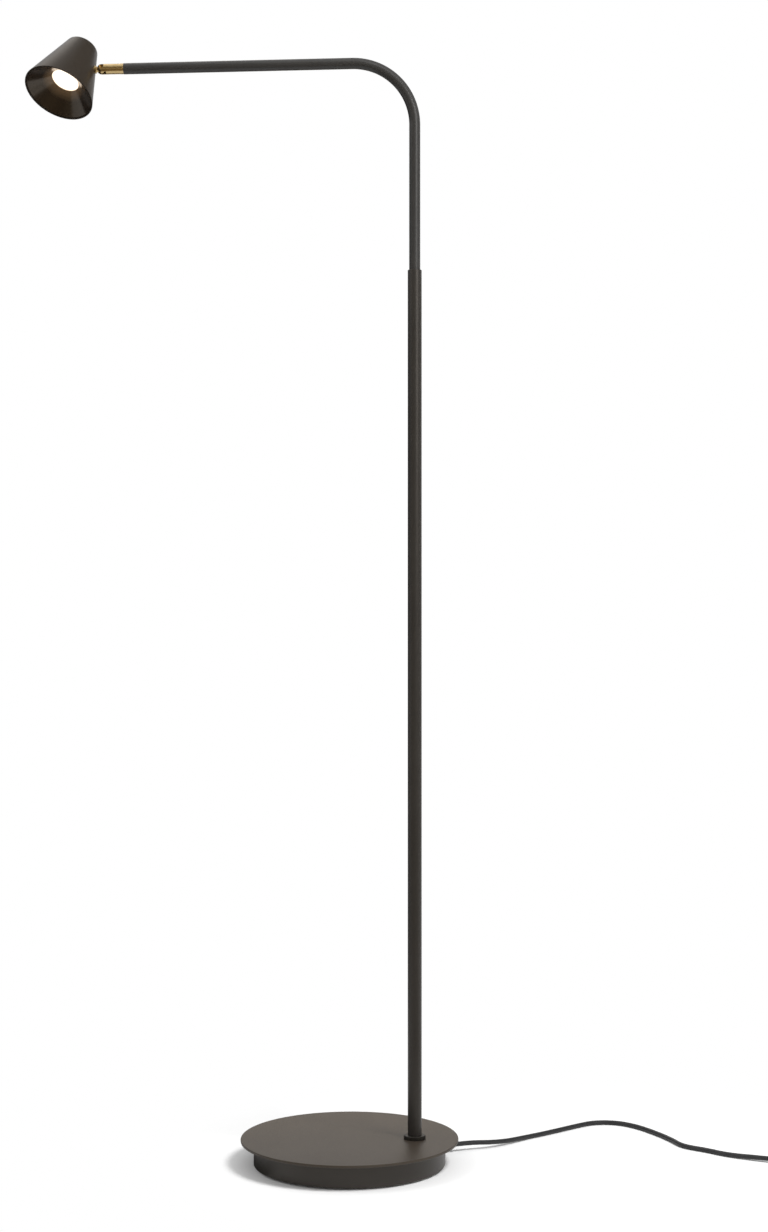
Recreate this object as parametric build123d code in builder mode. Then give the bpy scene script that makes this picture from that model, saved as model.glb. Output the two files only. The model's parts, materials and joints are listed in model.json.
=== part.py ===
from build123d import *

import math
import os

# Floor lamp: round weighted base, telescoping pole, swing arm and a conical head on a brass knuckle.
# Millimetres, +Z up. The origin is the middle of the base on the floor, and the arm reaches towards -X.

# Base
DISC_D = 250.0
DISC_T = 3.0
DISC_EDGE = 0.8
PLINTH_D = 220.0
PLINTH_H = 26.0
PLINTH_WALL = 2.0
PLINTH_LIP = 8.0
PLINTH_EDGE = 0.6
PAD_INSET = 8.0
PAD_T = 2.0
COVER_T = 1.5
BALLAST_T = 13.0
BASE_GAP = 0.25

# Fasteners of the base
STUD_D = 5.0
STUD_INSET = 33.0
STUD_COUNT = 4
STUD_START = 45.0
STUD_PROUD = 2.0
STUD_NUT_AF = 8.0
STUD_NUT_T = 4.0
COVER_SCREW_D = 4.0
COVER_SCREW_L = 9.0
COVER_SCREW_HEAD_D = 8.0
COVER_SCREW_HEAD_T = 1.6
COVER_SCREW_INSET = 14.0
COVER_SCREW_COUNT = 4
COVER_SCREW_START = 60.0
BOSS_D = 14.0
HOLE_GAP = 0.25
THREAD_GAP = 0.05

# LED driver, screwed to the bottom cover and standing in the ballast's window
DRIVER_L = 88.0
DRIVER_W = 40.0
DRIVER_H = 20.0
DRIVER_X = -32.0
DRIVER_CORNER = 4.0
DRIVER_EAR_L = 8.0
DRIVER_EAR_W = 10.0
DRIVER_EAR_T = 2.5
DRIVER_EAR_Y = 14.0
DRIVER_ROOM = 4.0
DRIVER_SCREW_D = 3.0
DRIVER_SCREW_HEAD_D = 5.6
DRIVER_SCREW_HEAD_T = 1.8

# Pole and its foot
POLE_INSET = 35.0
POLE_D = 16.0
POLE_WALL = 1.0
POLE_TOP_Z = 1026.0
POLE_EDGE = 0.3
COLLAR_D = 25.0
COLLAR_T = 4.5
COLLAR_RECESS = 1.0
COLLAR_EDGE = 0.8
NIPPLE_D = 10.0
NIPPLE_BORE = 7.0
NIPPLE_GRIP = 18.0
INSERT_L = 25.0
FOOT_WASHER_D = 22.0
FOOT_WASHER_T = 1.5
FOOT_NUT_AF = 14.0
FOOT_NUT_T = 4.0
PRESS_GAP = 0.02

# Telescope: guide bush in the pole, and the friction plug that the arm tube turns on
RUNNING_GAP = 0.05
BUSH_L = 45.0
BUSH_SUNK = 0.6
ARM_INSERTION = 120.0
PLUG_L = 30.0
PLUG_SPIGOT_L = 24.0
PLUG_BORE = 5.2
RING_SECTION = 1.8
RING_GROOVE_W = 2.2
RING_PITCH = 14.0
SWIVEL_SCREW_D = 4.0
SWIVEL_TIP_D = 2.5
SWIVEL_SCREW_UP = 12.0
SWIVEL_GROOVE_DEPTH = 1.8
SWIVEL_GROOVE_GAP = 0.3
SWIVEL_STOP_ARC = 10.0

# Arm tube
ARM_D = 12.7
ARM_WALL = 1.0
ARM_RISE = 238.5
ARM_REACH = 338.0
BEND_R = 72.0

# Low voltage lead in the pole and arm
LEAD_D = 3.6
LEAD_BEND_R = 4.0
LEAD_SLACK = 8.0
LEAD_LIFT = 0.3

# Brass knuckle: ferrule, fork, pivot screw and tongue
FERRULE_D = 12.3
FERRULE_W = 4.0
FERRULE_SPIGOT = 12.0
FORK_D = 12.0
FORK_L = 22.0
FORK_BORE = 4.4
SHANK_D = 8.0
FORK_NUT_D = 10.4
FORK_NUT_T = 4.0
SPRING_WASHER_T = 0.8
SLOT_W = 4.0
PIVOT_D = 3.0
PIVOT_HEAD_D = 5.2
PIVOT_HEAD_T = 1.6
PIVOT_SUNK = 0.8
EYE_D = 10.0
EYE_T = 2.8
EYE_ROOM = 0.5
NECK_W = 6.0
FRICTION_WASHER_D = 8.0
FRICTION_WASHER_T = 0.5
STEM_D = 6.0
STEM_START = 6.3
STEM_REACH = 8.1
STEM_COLLAR_D = 9.0
STEM_COLLAR_T = 1.7
STEM_THREAD_D = 5.0
STEM_THREAD_L = 9.0
SADDLE_GAP = 0.05

# Pose of the head: turned about the arm, and tilted from the knuckle's straight line
HEAD_ROLL = 31.0
HEAD_TILT = -2.0

# Shade, a cone measured from its closed end
SHADE_TOP_D = 36.5
SHADE_MOUTH_D = 83.5
SHADE_L = 75.5
SHADE_WALL = 1.2
SHADE_EDGE = 5.0
STEM_DOWN = 31.7

# LED engine, placed by depth from the shade's closed end
SINK_CORE_D = 16.0
SINK_TOP = 4.0
SINK_BLOCK_TOP = 24.0
SINK_FACE = 38.0
SINK_FIN_T = 1.6
SINK_FIN_COUNT = 12
SINK_FIN_GAP = 1.2
SINK_BOSS_D = 11.0
BOARD_EDGE = 3.0
BOARD_GAP = 0.6
BOARD_T = 1.6
CHIP_D = 12.0
CHIP_T = 1.0
BOARD_SCREW_D = 2.0
BOARD_SCREW_L = 5.0
BOARD_SCREW_HEAD_D = 3.6
BOARD_SCREW_HEAD_T = 1.2
BOARD_SCREW_SPAN = 20.0
LENS_D = 36.8
LENS_FACE = 54.0
LENS_FLANGE_T = 1.5
LENS_LEDGE = 1.2
LENS_BACK_D = 15.0
LENS_BACK_GAP = 0.4
LENS_POCKET_D = 10.0
LENS_POCKET_H = 6.0
LENS_GAP = 0.1
LENS_LIP = 2.0
HOLDER_WALL = 1.4
REFLECTOR_WALL = 1.0
REFLECTOR_SUNK = 1.2
REFLECTOR_GAP = 0.1
REFLECTOR_LIP = 1.8

# Mains lead and its strain relief
CORD_D = 5.5
CORD_EXIT_TURN = 29.0
CORD_EXIT_Z = 9.0
CORD_FLOOR_Z = 2.9
CORD_BEND = 0.45
RELIEF_L = 24.0
RELIEF_D = 9.0
RELIEF_TIP_D = 7.2
RELIEF_NECK_D = 7.0
RELIEF_FLANGE_T = 2.0
SUPPLY_BEND_R = 60.0
SUPPLY_RUN = 20.0
SUPPLY_Y = 10.0

# Foot switch on the mains lead
SWITCH_X = 537.0
SWITCH_Y = 29.0
SWITCH_TURN = -19.7
SWITCH_L = 78.0
SWITCH_W = 32.0
SWITCH_BASE_H = 9.0
SWITCH_COVER_H = 10.0
SWITCH_CORNER = 8.0
SWITCH_CROWN = 4.0
SWITCH_WALL = 2.0
SWITCH_ENTRY_Z = 4.5
SWITCH_LEAD_RUN = 28.0
SWITCH_TAIL_RUN = 14.0
BUTTON_D = 22.0
BUTTON_TRAVEL = 3.0
BUTTON_GAP = 0.25
BUTTON_FLANGE_D = 25.0
BUTTON_FLANGE_T = 1.5
BUTTON_EDGE = 1.2
SWITCH_SCREW_D = 3.0
SWITCH_SCREW_L = 11.0
SWITCH_SCREW_HEAD_D = 5.5
SWITCH_SCREW_HEAD_T = 1.5
SWITCH_SCREW_SPAN = 56.0
SWITCH_BOSS_D = 7.0
SPRING_D = 11.0
SPRING_WIRE = 0.9
SPRING_TURNS = 4

# Put-away coil of the lead, its tie and the plug
COIL_X = 585.0
COIL_Y = 88.3
COIL_OUTER_R = 42.0
COIL_PITCH = 6.1
COIL_TURNS_IN = 3
COIL_STEPS = 4
TIE_T = 1.0
TIE_W = 10.0
TIE_GAP = 0.4
TIE_CORNER = 3.0
PLUG_RUN = 18.0
PLUG_Z = 6.8
PLUG_FACE_W = 35.0
PLUG_WAIST_W = 33.0
PLUG_TAIL_W = 12.0
PLUG_BODY_H = 13.6
PLUG_TAIL_H = 11.0
PLUG_CORNER = 5.2
PLUG_BODY_L = 16.0
PLUG_TAPER_L = 18.0
PLUG_BOOT_L = 22.0
PLUG_BOOT_D = 7.2
PIN_D = 4.0
PIN_L = 19.0
PIN_SUNK = 6.0
PIN_SPACING = 18.6

# Heights and radii that follow from the sizes above
plinth_z = PAD_T
disc_z = plinth_z + PLINTH_H
foot_z = disc_z + DISC_T
cover_top = plinth_z + COVER_T
ballast_z = disc_z - BALLAST_T
plinth_inner_r = PLINTH_D / 2 - PLINTH_WALL
pad_r = PLINTH_D / 2 - PAD_INSET
stud_circle_r = plinth_inner_r - STUD_INSET
cover_screw_circle_r = plinth_inner_r - COVER_SCREW_INSET
pole_x = PLINTH_D / 2 - POLE_INSET
pole_z = foot_z + COLLAR_T - COLLAR_RECESS
pole_bore_r = POLE_D / 2 - POLE_WALL
arm_foot_z = POLE_TOP_Z - ARM_INSERTION
arm_z = POLE_TOP_Z + ARM_RISE
arm_bore_r = ARM_D / 2 - ARM_WALL
arm_end_x = pole_x - ARM_REACH
pivot_x = arm_end_x - FERRULE_W - FORK_L
board_d = BOARD_SCREW_SPAN + 2 * BOARD_EDGE
sink_block_d = board_d + 2 * (BOARD_GAP + HOLDER_WALL)
cord_r = CORD_D / 2
lead_r = LEAD_D / 2

# Planes and axes that the pieces are built on
pole_foot = Plane(origin=(pole_x, 0, 0))
pole_section = Plane(origin=(pole_x, 0, 0), x_dir=(1, 0, 0), z_dir=(0, -1, 0))
pole_axis = Axis((pole_x, 0, 0), (0, 0, 1))


def section_of(plane):
    """The plane that holds a turned piece's half profile: X is the radius and Y runs along the plane's normal."""
    return Plane(origin=plane.origin, x_dir=plane.x_dir, z_dir=-plane.y_dir)


def axis_of(plane):
    """The axis that a turned piece on this plane is turned about."""
    return Axis(plane.origin, plane.z_dir)


def swung(plane, angle):
    """The plane swung about its own Y axis, its normal moving towards its X direction."""
    swing = math.radians(angle)
    return Plane(
        origin=plane.origin,
        x_dir=plane.x_dir * math.cos(swing) - plane.z_dir * math.sin(swing),
        z_dir=plane.z_dir * math.cos(swing) + plane.x_dir * math.sin(swing),
    )


roll = math.radians(HEAD_ROLL)
knuckle = Plane(
    origin=(pivot_x, 0, arm_z),
    x_dir=(0, -math.sin(roll), -math.cos(roll)),
    z_dir=(-1, 0, 0),
)
stem = swung(knuckle, -HEAD_TILT)

# The shade's wall beside the arm is square to the stem, and its axis leans from that wall by the half angle.
half_angle = math.atan((SHADE_MOUTH_D - SHADE_TOP_D) / 2 / SHADE_L)
half_angle_tan = math.tan(half_angle)
half_angle_cos = math.cos(half_angle)
shade_top = stem.from_local_coords(
    (
        -STEM_DOWN - SHADE_TOP_D / 2 * math.sin(half_angle),
        0,
        STEM_REACH + SHADE_TOP_D / 2 * half_angle_cos,
    )
)
leaned = swung(stem, 90 - math.degrees(half_angle))
head = Plane(origin=shade_top, x_dir=leaned.x_dir, z_dir=leaned.z_dir)
head_section = section_of(head)
head_axis = axis_of(head)


def shade_outer_r(depth):
    """Radius of the shade's outer cone at a depth from its closed end."""
    return SHADE_TOP_D / 2 + depth * half_angle_tan


def shade_inner_r(depth, gap=0.0):
    """Radius of a cone that stays a given distance inside the shade's inner wall."""
    return shade_outer_r(depth) - (SHADE_WALL + gap) / half_angle_cos


exit_turn = math.radians(CORD_EXIT_TURN)
exit_out = Vector(math.cos(exit_turn), math.sin(exit_turn), 0)
inlet = Plane(
    origin=(0, 0, CORD_EXIT_Z),
    x_dir=(-math.sin(exit_turn), math.cos(exit_turn), 0),
    z_dir=exit_out,
)
switch_turn = math.radians(SWITCH_TURN)
switch_along = Vector(math.cos(switch_turn), math.sin(switch_turn), 0)
switch_place = Plane(origin=(SWITCH_X, SWITCH_Y, 0), x_dir=switch_along, z_dir=(0, 0, 1))


def write(name, builder):
    """Label a finished piece and write it as its own file."""
    builder.part.label = name
    export_step(builder.part, f"parts/{name}.step")


os.makedirs("parts", exist_ok=True)

# Base disc
with BuildPart() as base_disc:
    with BuildSketch(Plane.XY.offset(disc_z)):
        Circle(DISC_D / 2)
        with Locations((pole_x, 0)):
            Circle(NIPPLE_D / 2 + HOLE_GAP, mode=Mode.SUBTRACT)
    extrude(amount=DISC_T)
    rims = base_disc.edges().filter_by(GeomType.CIRCLE).sort_by(SortBy.RADIUS)[-2:]
    fillet(rims, DISC_EDGE)
write("base_disc", base_disc)

# Plinth: a spun skirt whose lip is clamped between the disc and the ballast
with BuildPart() as plinth_skirt:
    with BuildSketch(Plane.XZ):
        with BuildLine():
            Polyline(
                (PLINTH_D / 2, plinth_z),
                (PLINTH_D / 2, disc_z),
                (PLINTH_D / 2 - PLINTH_LIP, disc_z),
                (PLINTH_D / 2 - PLINTH_LIP, disc_z - PLINTH_WALL),
                (plinth_inner_r, disc_z - PLINTH_WALL),
                (plinth_inner_r, plinth_z),
                close=True,
            )
        make_face()
    revolve(axis=Axis.Z)
    foot_edge = plinth_skirt.edges().filter_by(GeomType.CIRCLE).group_by(Axis.Z)[0].sort_by(SortBy.RADIUS)[-1]
    fillet(foot_edge, PLINTH_EDGE)
    with BuildSketch(inlet):
        Circle(RELIEF_NECK_D / 2 + HOLE_GAP)
    extrude(amount=PLINTH_D, mode=Mode.SUBTRACT)
write("plinth_skirt", plinth_skirt)

# Ballast: an iron disc with a window for the driver, four screw bosses and a rebate for the skirt's lip
with BuildPart() as base_ballast:
    with BuildSketch(Plane.XY.offset(ballast_z)):
        Circle(plinth_inner_r - BASE_GAP)
        with Locations((DRIVER_X, 0)):
            Rectangle(DRIVER_L + 2 * DRIVER_ROOM, DRIVER_W + 2 * DRIVER_ROOM, mode=Mode.SUBTRACT)
        with Locations((pole_x, 0)):
            Circle(NIPPLE_D / 2 + HOLE_GAP, mode=Mode.SUBTRACT)
        with PolarLocations(stud_circle_r, STUD_COUNT, STUD_START):
            Circle(STUD_D / 2 + HOLE_GAP, mode=Mode.SUBTRACT)
    extrude(amount=BALLAST_T)
    with BuildSketch(Plane.XY.offset(disc_z)):
        Circle(PLINTH_D / 2)
        Circle(PLINTH_D / 2 - PLINTH_LIP - BASE_GAP, mode=Mode.SUBTRACT)
    extrude(amount=-PLINTH_WALL, mode=Mode.SUBTRACT)
    with BuildSketch(Plane.XY.offset(cover_top)):
        with PolarLocations(cover_screw_circle_r, COVER_SCREW_COUNT, COVER_SCREW_START):
            Circle(BOSS_D / 2)
    extrude(amount=ballast_z - cover_top)
    with BuildSketch(Plane.XY.offset(cover_top)):
        with PolarLocations(cover_screw_circle_r, COVER_SCREW_COUNT, COVER_SCREW_START):
            Circle(COVER_SCREW_D / 2 + THREAD_GAP)
    extrude(amount=COVER_SCREW_L, mode=Mode.SUBTRACT)
write("base_ballast", base_ballast)

# Studs welded under the disc, and their nuts
stud_l = BALLAST_T + STUD_NUT_T + STUD_PROUD
with BuildPart() as disc_studs:
    with BuildSketch(Plane.XY.offset(disc_z - stud_l)):
        with PolarLocations(stud_circle_r, STUD_COUNT, STUD_START):
            Circle(STUD_D / 2)
    extrude(amount=stud_l)
write("disc_studs", disc_studs)

with BuildPart() as stud_nuts:
    with BuildSketch(Plane.XY.offset(ballast_z - STUD_NUT_T)):
        with PolarLocations(stud_circle_r, STUD_COUNT, STUD_START):
            RegularPolygon(STUD_NUT_AF / 2, 6, major_radius=False)
            Circle(STUD_D / 2 + THREAD_GAP, mode=Mode.SUBTRACT)
    extrude(amount=STUD_NUT_T)
write("stud_nuts", stud_nuts)

# Bottom cover, its screws and the pad that the lamp stands on
ear_spots = [
    (DRIVER_X + DRIVER_L / 2 + DRIVER_EAR_L / 2, -DRIVER_EAR_Y),
    (DRIVER_X - DRIVER_L / 2 - DRIVER_EAR_L / 2, DRIVER_EAR_Y),
]
with BuildPart() as bottom_cover:
    with BuildSketch(Plane.XY.offset(plinth_z)):
        Circle(plinth_inner_r - BASE_GAP)
        with PolarLocations(cover_screw_circle_r, COVER_SCREW_COUNT, COVER_SCREW_START):
            Circle(COVER_SCREW_D / 2 + HOLE_GAP, mode=Mode.SUBTRACT)
        with Locations(*ear_spots):
            Circle(DRIVER_SCREW_D / 2 + THREAD_GAP, mode=Mode.SUBTRACT)
    extrude(amount=COVER_T)
write("bottom_cover", bottom_cover)

with BuildPart() as cover_screws:
    with BuildSketch(Plane.XY.offset(plinth_z - COVER_SCREW_HEAD_T)):
        with PolarLocations(cover_screw_circle_r, COVER_SCREW_COUNT, COVER_SCREW_START):
            Circle(COVER_SCREW_HEAD_D / 2)
    extrude(amount=COVER_SCREW_HEAD_T)
    with BuildSketch(Plane.XY.offset(plinth_z)):
        with PolarLocations(cover_screw_circle_r, COVER_SCREW_COUNT, COVER_SCREW_START):
            Circle(COVER_SCREW_D / 2)
    extrude(amount=COVER_SCREW_L)
write("cover_screws", cover_screws)

with BuildPart() as floor_pad:
    with BuildSketch(Plane.XY):
        Circle(pad_r)
        with PolarLocations(cover_screw_circle_r, COVER_SCREW_COUNT, COVER_SCREW_START):
            Circle(COVER_SCREW_HEAD_D / 2 + HOLE_GAP, mode=Mode.SUBTRACT)
    extrude(amount=PAD_T)
write("floor_pad", floor_pad)

# LED driver with an ear at each end, and its two screws
with BuildPart() as led_driver:
    with BuildSketch(Plane.XY.offset(cover_top)):
        with Locations((DRIVER_X, 0)):
            RectangleRounded(DRIVER_L, DRIVER_W, DRIVER_CORNER)
    extrude(amount=DRIVER_H)
    fillet(led_driver.faces().sort_by(Axis.Z)[-1].edges(), DRIVER_CORNER / 4)
    with BuildSketch(Plane.XY.offset(cover_top)):
        with Locations(*ear_spots):
            Rectangle(DRIVER_EAR_L, DRIVER_EAR_W)
            Circle(DRIVER_SCREW_D / 2 + HOLE_GAP, mode=Mode.SUBTRACT)
    extrude(amount=DRIVER_EAR_T)
write("led_driver", led_driver)

with BuildPart() as driver_screws:
    with BuildSketch(Plane.XY.offset(plinth_z)):
        with Locations(*ear_spots):
            Circle(DRIVER_SCREW_D / 2)
    extrude(amount=COVER_T + DRIVER_EAR_T)
    with BuildSketch(Plane.XY.offset(cover_top + DRIVER_EAR_T)):
        with Locations(*ear_spots):
            Circle(DRIVER_SCREW_HEAD_D / 2)
    extrude(amount=DRIVER_SCREW_HEAD_T)
write("driver_screws", driver_screws)

# Pole foot: collar on the disc, threaded insert in the tube, hollow nipple, washer and nut
with BuildPart() as foot_collar:
    with BuildSketch(pole_foot.offset(foot_z)):
        Circle(COLLAR_D / 2)
        Circle(NIPPLE_D / 2 + HOLE_GAP, mode=Mode.SUBTRACT)
    extrude(amount=COLLAR_T)
    with BuildSketch(pole_foot.offset(pole_z)):
        Circle(POLE_D / 2 + HOLE_GAP)
    extrude(amount=COLLAR_RECESS, mode=Mode.SUBTRACT)
    top_edge = foot_collar.edges().filter_by(GeomType.CIRCLE).group_by(Axis.Z)[-1].sort_by(SortBy.RADIUS)[-1]
    fillet(top_edge, COLLAR_EDGE)
write("foot_collar", foot_collar)

with BuildPart() as pole_insert:
    with BuildSketch(pole_foot.offset(pole_z)):
        Circle(pole_bore_r - PRESS_GAP)
        Circle(NIPPLE_D / 2 + THREAD_GAP, mode=Mode.SUBTRACT)
    extrude(amount=INSERT_L)
write("pole_insert", pole_insert)

nipple_z = ballast_z - FOOT_WASHER_T - FOOT_NUT_T
with BuildPart() as foot_nipple:
    with BuildSketch(pole_foot.offset(nipple_z)):
        Circle(NIPPLE_D / 2)
        Circle(NIPPLE_BORE / 2, mode=Mode.SUBTRACT)
    extrude(amount=pole_z + NIPPLE_GRIP - nipple_z)
write("foot_nipple", foot_nipple)

with BuildPart() as foot_washer:
    with BuildSketch(pole_foot.offset(ballast_z - FOOT_WASHER_T)):
        Circle(FOOT_WASHER_D / 2)
        Circle(NIPPLE_D / 2 + HOLE_GAP, mode=Mode.SUBTRACT)
    extrude(amount=FOOT_WASHER_T)
write("foot_washer", foot_washer)

with BuildPart() as foot_nut:
    with BuildSketch(pole_foot.offset(nipple_z)):
        RegularPolygon(FOOT_NUT_AF / 2, 6, major_radius=False)
        Circle(NIPPLE_D / 2 + THREAD_GAP, mode=Mode.SUBTRACT)
    extrude(amount=FOOT_NUT_T)
write("foot_nut", foot_nut)

# Lower pole
with BuildPart() as pole_tube:
    with BuildSketch(pole_foot.offset(pole_z)):
        Circle(POLE_D / 2)
        Circle(pole_bore_r, mode=Mode.SUBTRACT)
    extrude(amount=POLE_TOP_Z - pole_z)
    chamfer(pole_tube.edges().filter_by(GeomType.CIRCLE).group_by(Axis.Z)[-1], POLE_EDGE)
write("pole_tube", pole_tube)

# Guide bush in the pole's top
with BuildPart() as guide_bush:
    with BuildSketch(pole_foot.offset(POLE_TOP_Z - BUSH_SUNK - BUSH_L)):
        Circle(pole_bore_r - PRESS_GAP)
        Circle(ARM_D / 2 + RUNNING_GAP, mode=Mode.SUBTRACT)
    extrude(amount=BUSH_L)
write("guide_bush", guide_bush)

# Friction plug: it slides in the pole, and the arm tube turns on its spigot until the screw meets the groove's stop
plug_r = pole_bore_r - RUNNING_GAP
spigot_r = arm_bore_r - RUNNING_GAP
ring_r = pole_bore_r - PRESS_GAP - RING_SECTION / 2
ring_floor_r = ring_r - RING_SECTION / 2 - PRESS_GAP
ring_heights = [arm_foot_z - PLUG_L / 2 - RING_PITCH / 2, arm_foot_z - PLUG_L / 2 + RING_PITCH / 2]
swivel_z = arm_foot_z + SWIVEL_SCREW_UP
groove_floor_r = spigot_r - SWIVEL_GROOVE_DEPTH
groove_w = SWIVEL_TIP_D + 2 * SWIVEL_GROOVE_GAP
stop_side = swung(pole_section, SWIVEL_STOP_ARC / 2)
with BuildPart() as slide_plug:
    with BuildSketch(pole_foot.offset(arm_foot_z - PLUG_L)):
        Circle(plug_r)
    extrude(amount=PLUG_L)
    with BuildSketch(pole_foot.offset(arm_foot_z)):
        Circle(spigot_r)
    extrude(amount=PLUG_SPIGOT_L)
    with BuildSketch(pole_foot.offset(arm_foot_z - PLUG_L)):
        Circle(PLUG_BORE / 2)
    extrude(amount=PLUG_L + PLUG_SPIGOT_L, mode=Mode.SUBTRACT)
    for ring_z in ring_heights:
        with BuildSketch(pole_foot.offset(ring_z - RING_GROOVE_W / 2)):
            Circle(pole_bore_r)
            Circle(ring_floor_r, mode=Mode.SUBTRACT)
        extrude(amount=RING_GROOVE_W, mode=Mode.SUBTRACT)
    with BuildSketch(stop_side):
        with Locations(((groove_floor_r + arm_bore_r) / 2, swivel_z)):
            Rectangle(arm_bore_r - groove_floor_r, groove_w)
    revolve(axis=pole_axis, revolution_arc=360 - SWIVEL_STOP_ARC, mode=Mode.SUBTRACT)
write("slide_plug", slide_plug)

with BuildPart() as brake_rings:
    for ring_z in ring_heights:
        with BuildSketch(pole_section):
            with Locations((ring_r, ring_z)):
                Circle(RING_SECTION / 2)
        revolve(axis=pole_axis)
write("brake_rings", brake_rings)

# Arm tube, bent once, with the hole for the swivel screw
swivel_plane = Plane(origin=(pole_x, 0, swivel_z), x_dir=(0, 0, 1), z_dir=(-1, 0, 0))
with BuildPart() as arm_tube:
    with BuildLine():
        FilletPolyline(
            (pole_x, 0, arm_foot_z),
            (pole_x, 0, arm_z),
            (arm_end_x, 0, arm_z),
            radius=BEND_R,
        )
    with BuildSketch(pole_foot.offset(arm_foot_z)):
        Circle(ARM_D / 2)
        Circle(arm_bore_r, mode=Mode.SUBTRACT)
    sweep()
    with BuildSketch(swivel_plane):
        Circle(SWIVEL_SCREW_D / 2 + THREAD_GAP)
    extrude(amount=ARM_D, mode=Mode.SUBTRACT)
write("arm_tube", arm_tube)

# Swivel screw: threaded in the tube's wall, with a dog point in the plug's groove
swivel_screw_face = math.sqrt((ARM_D / 2) ** 2 - (SWIVEL_SCREW_D / 2) ** 2) - RUNNING_GAP
with BuildPart() as swivel_screw:
    with BuildSketch(swivel_plane.offset(arm_bore_r)):
        Circle(SWIVEL_SCREW_D / 2)
    extrude(amount=swivel_screw_face - arm_bore_r)
    with BuildSketch(swivel_plane.offset(groove_floor_r + SWIVEL_GROOVE_GAP)):
        Circle(SWIVEL_TIP_D / 2)
    extrude(amount=arm_bore_r - groove_floor_r - SWIVEL_GROOVE_GAP)
write("swivel_screw", swivel_screw)

# Ferrule in the arm's end, which the fork's shank turns in
ferrule = Plane(origin=(arm_end_x, 0, arm_z), x_dir=(0, 0, 1), z_dir=(-1, 0, 0))
with BuildPart() as arm_ferrule:
    with BuildSketch(ferrule):
        Circle(FERRULE_D / 2)
    extrude(amount=FERRULE_W)
    with BuildSketch(ferrule):
        Circle(arm_bore_r - PRESS_GAP)
    extrude(amount=-FERRULE_SPIGOT)
    with BuildSketch(ferrule.offset(FERRULE_W)):
        Circle(SHANK_D / 2 + RUNNING_GAP)
    extrude(amount=-FERRULE_W - FERRULE_SPIGOT, mode=Mode.SUBTRACT)
write("arm_ferrule", arm_ferrule)

# Fork: a turned body with a domed end, slotted for the tongue, on a hollow shank
knuckle_section = section_of(knuckle)
knuckle_axis = axis_of(knuckle)
fork_r = FORK_D / 2
slot_floor = EYE_D / 2 + EYE_ROOM
shank_l = FERRULE_W + FERRULE_SPIGOT + SPRING_WASHER_T + FORK_NUT_T
pivot_plane = Plane(origin=knuckle.origin, x_dir=knuckle.x_dir, z_dir=knuckle.y_dir)
pivot_seat = fork_r - PIVOT_SUNK - PIVOT_HEAD_T
pivot_end = fork_r - PIVOT_SUNK
with BuildPart() as knuckle_fork:
    with BuildSketch(knuckle_section):
        with BuildLine():
            Polyline(
                (0, fork_r),
                (0, -FORK_L - shank_l),
                (SHANK_D / 2, -FORK_L - shank_l),
                (SHANK_D / 2, -FORK_L),
                (fork_r, -FORK_L),
                (fork_r, 0),
            )
            RadiusArc((fork_r, 0), (0, fork_r), -fork_r)
        make_face()
    revolve(axis=knuckle_axis)
    with BuildSketch(knuckle.offset(-slot_floor)):
        Rectangle(2 * FORK_D, SLOT_W)
    extrude(amount=slot_floor + FORK_D, mode=Mode.SUBTRACT)
    with BuildSketch(knuckle.offset(-FORK_L - shank_l)):
        Circle(FORK_BORE / 2)
    extrude(amount=FORK_L + shank_l, mode=Mode.SUBTRACT)
    with BuildSketch(pivot_plane.offset(-pivot_end)):
        Circle(PIVOT_D / 2 + RUNNING_GAP)
    extrude(amount=2 * FORK_D, mode=Mode.SUBTRACT)
    with BuildSketch(pivot_plane.offset(pivot_seat)):
        Circle(PIVOT_HEAD_D / 2 + HOLE_GAP)
    extrude(amount=FORK_D, mode=Mode.SUBTRACT)
write("knuckle_fork", knuckle_fork)

# Spring washer and round nut that hold the shank in the ferrule
shank_end = knuckle.offset(-FORK_L - shank_l)
with BuildPart() as spring_washer:
    with BuildSketch(shank_end.offset(FORK_NUT_T)):
        Circle(FORK_NUT_D / 2)
        Circle(SHANK_D / 2 + THREAD_GAP, mode=Mode.SUBTRACT)
    extrude(amount=SPRING_WASHER_T)
write("spring_washer", spring_washer)

with BuildPart() as fork_nut:
    with BuildSketch(shank_end):
        Circle(FORK_NUT_D / 2)
        Circle(SHANK_D / 2 + THREAD_GAP, mode=Mode.SUBTRACT)
    extrude(amount=FORK_NUT_T)
write("fork_nut", fork_nut)

# Pivot screw through the fork's cheeks, and the friction washers beside the tongue's eye
with BuildPart() as pivot_screw:
    with BuildSketch(pivot_plane.offset(-pivot_end)):
        Circle(PIVOT_D / 2)
    extrude(amount=pivot_end + pivot_seat)
    with BuildSketch(pivot_plane.offset(pivot_seat)):
        Circle(PIVOT_HEAD_D / 2)
    extrude(amount=PIVOT_HEAD_T)
write("pivot_screw", pivot_screw)

with BuildPart() as friction_washers:
    for side in (-1, 1):
        with BuildSketch(pivot_plane.offset(side * EYE_T / 2)):
            Circle(FRICTION_WASHER_D / 2)
            Circle(PIVOT_D / 2 + RUNNING_GAP, mode=Mode.SUBTRACT)
        extrude(amount=side * FRICTION_WASHER_T)
write("friction_washers", friction_washers)

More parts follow.
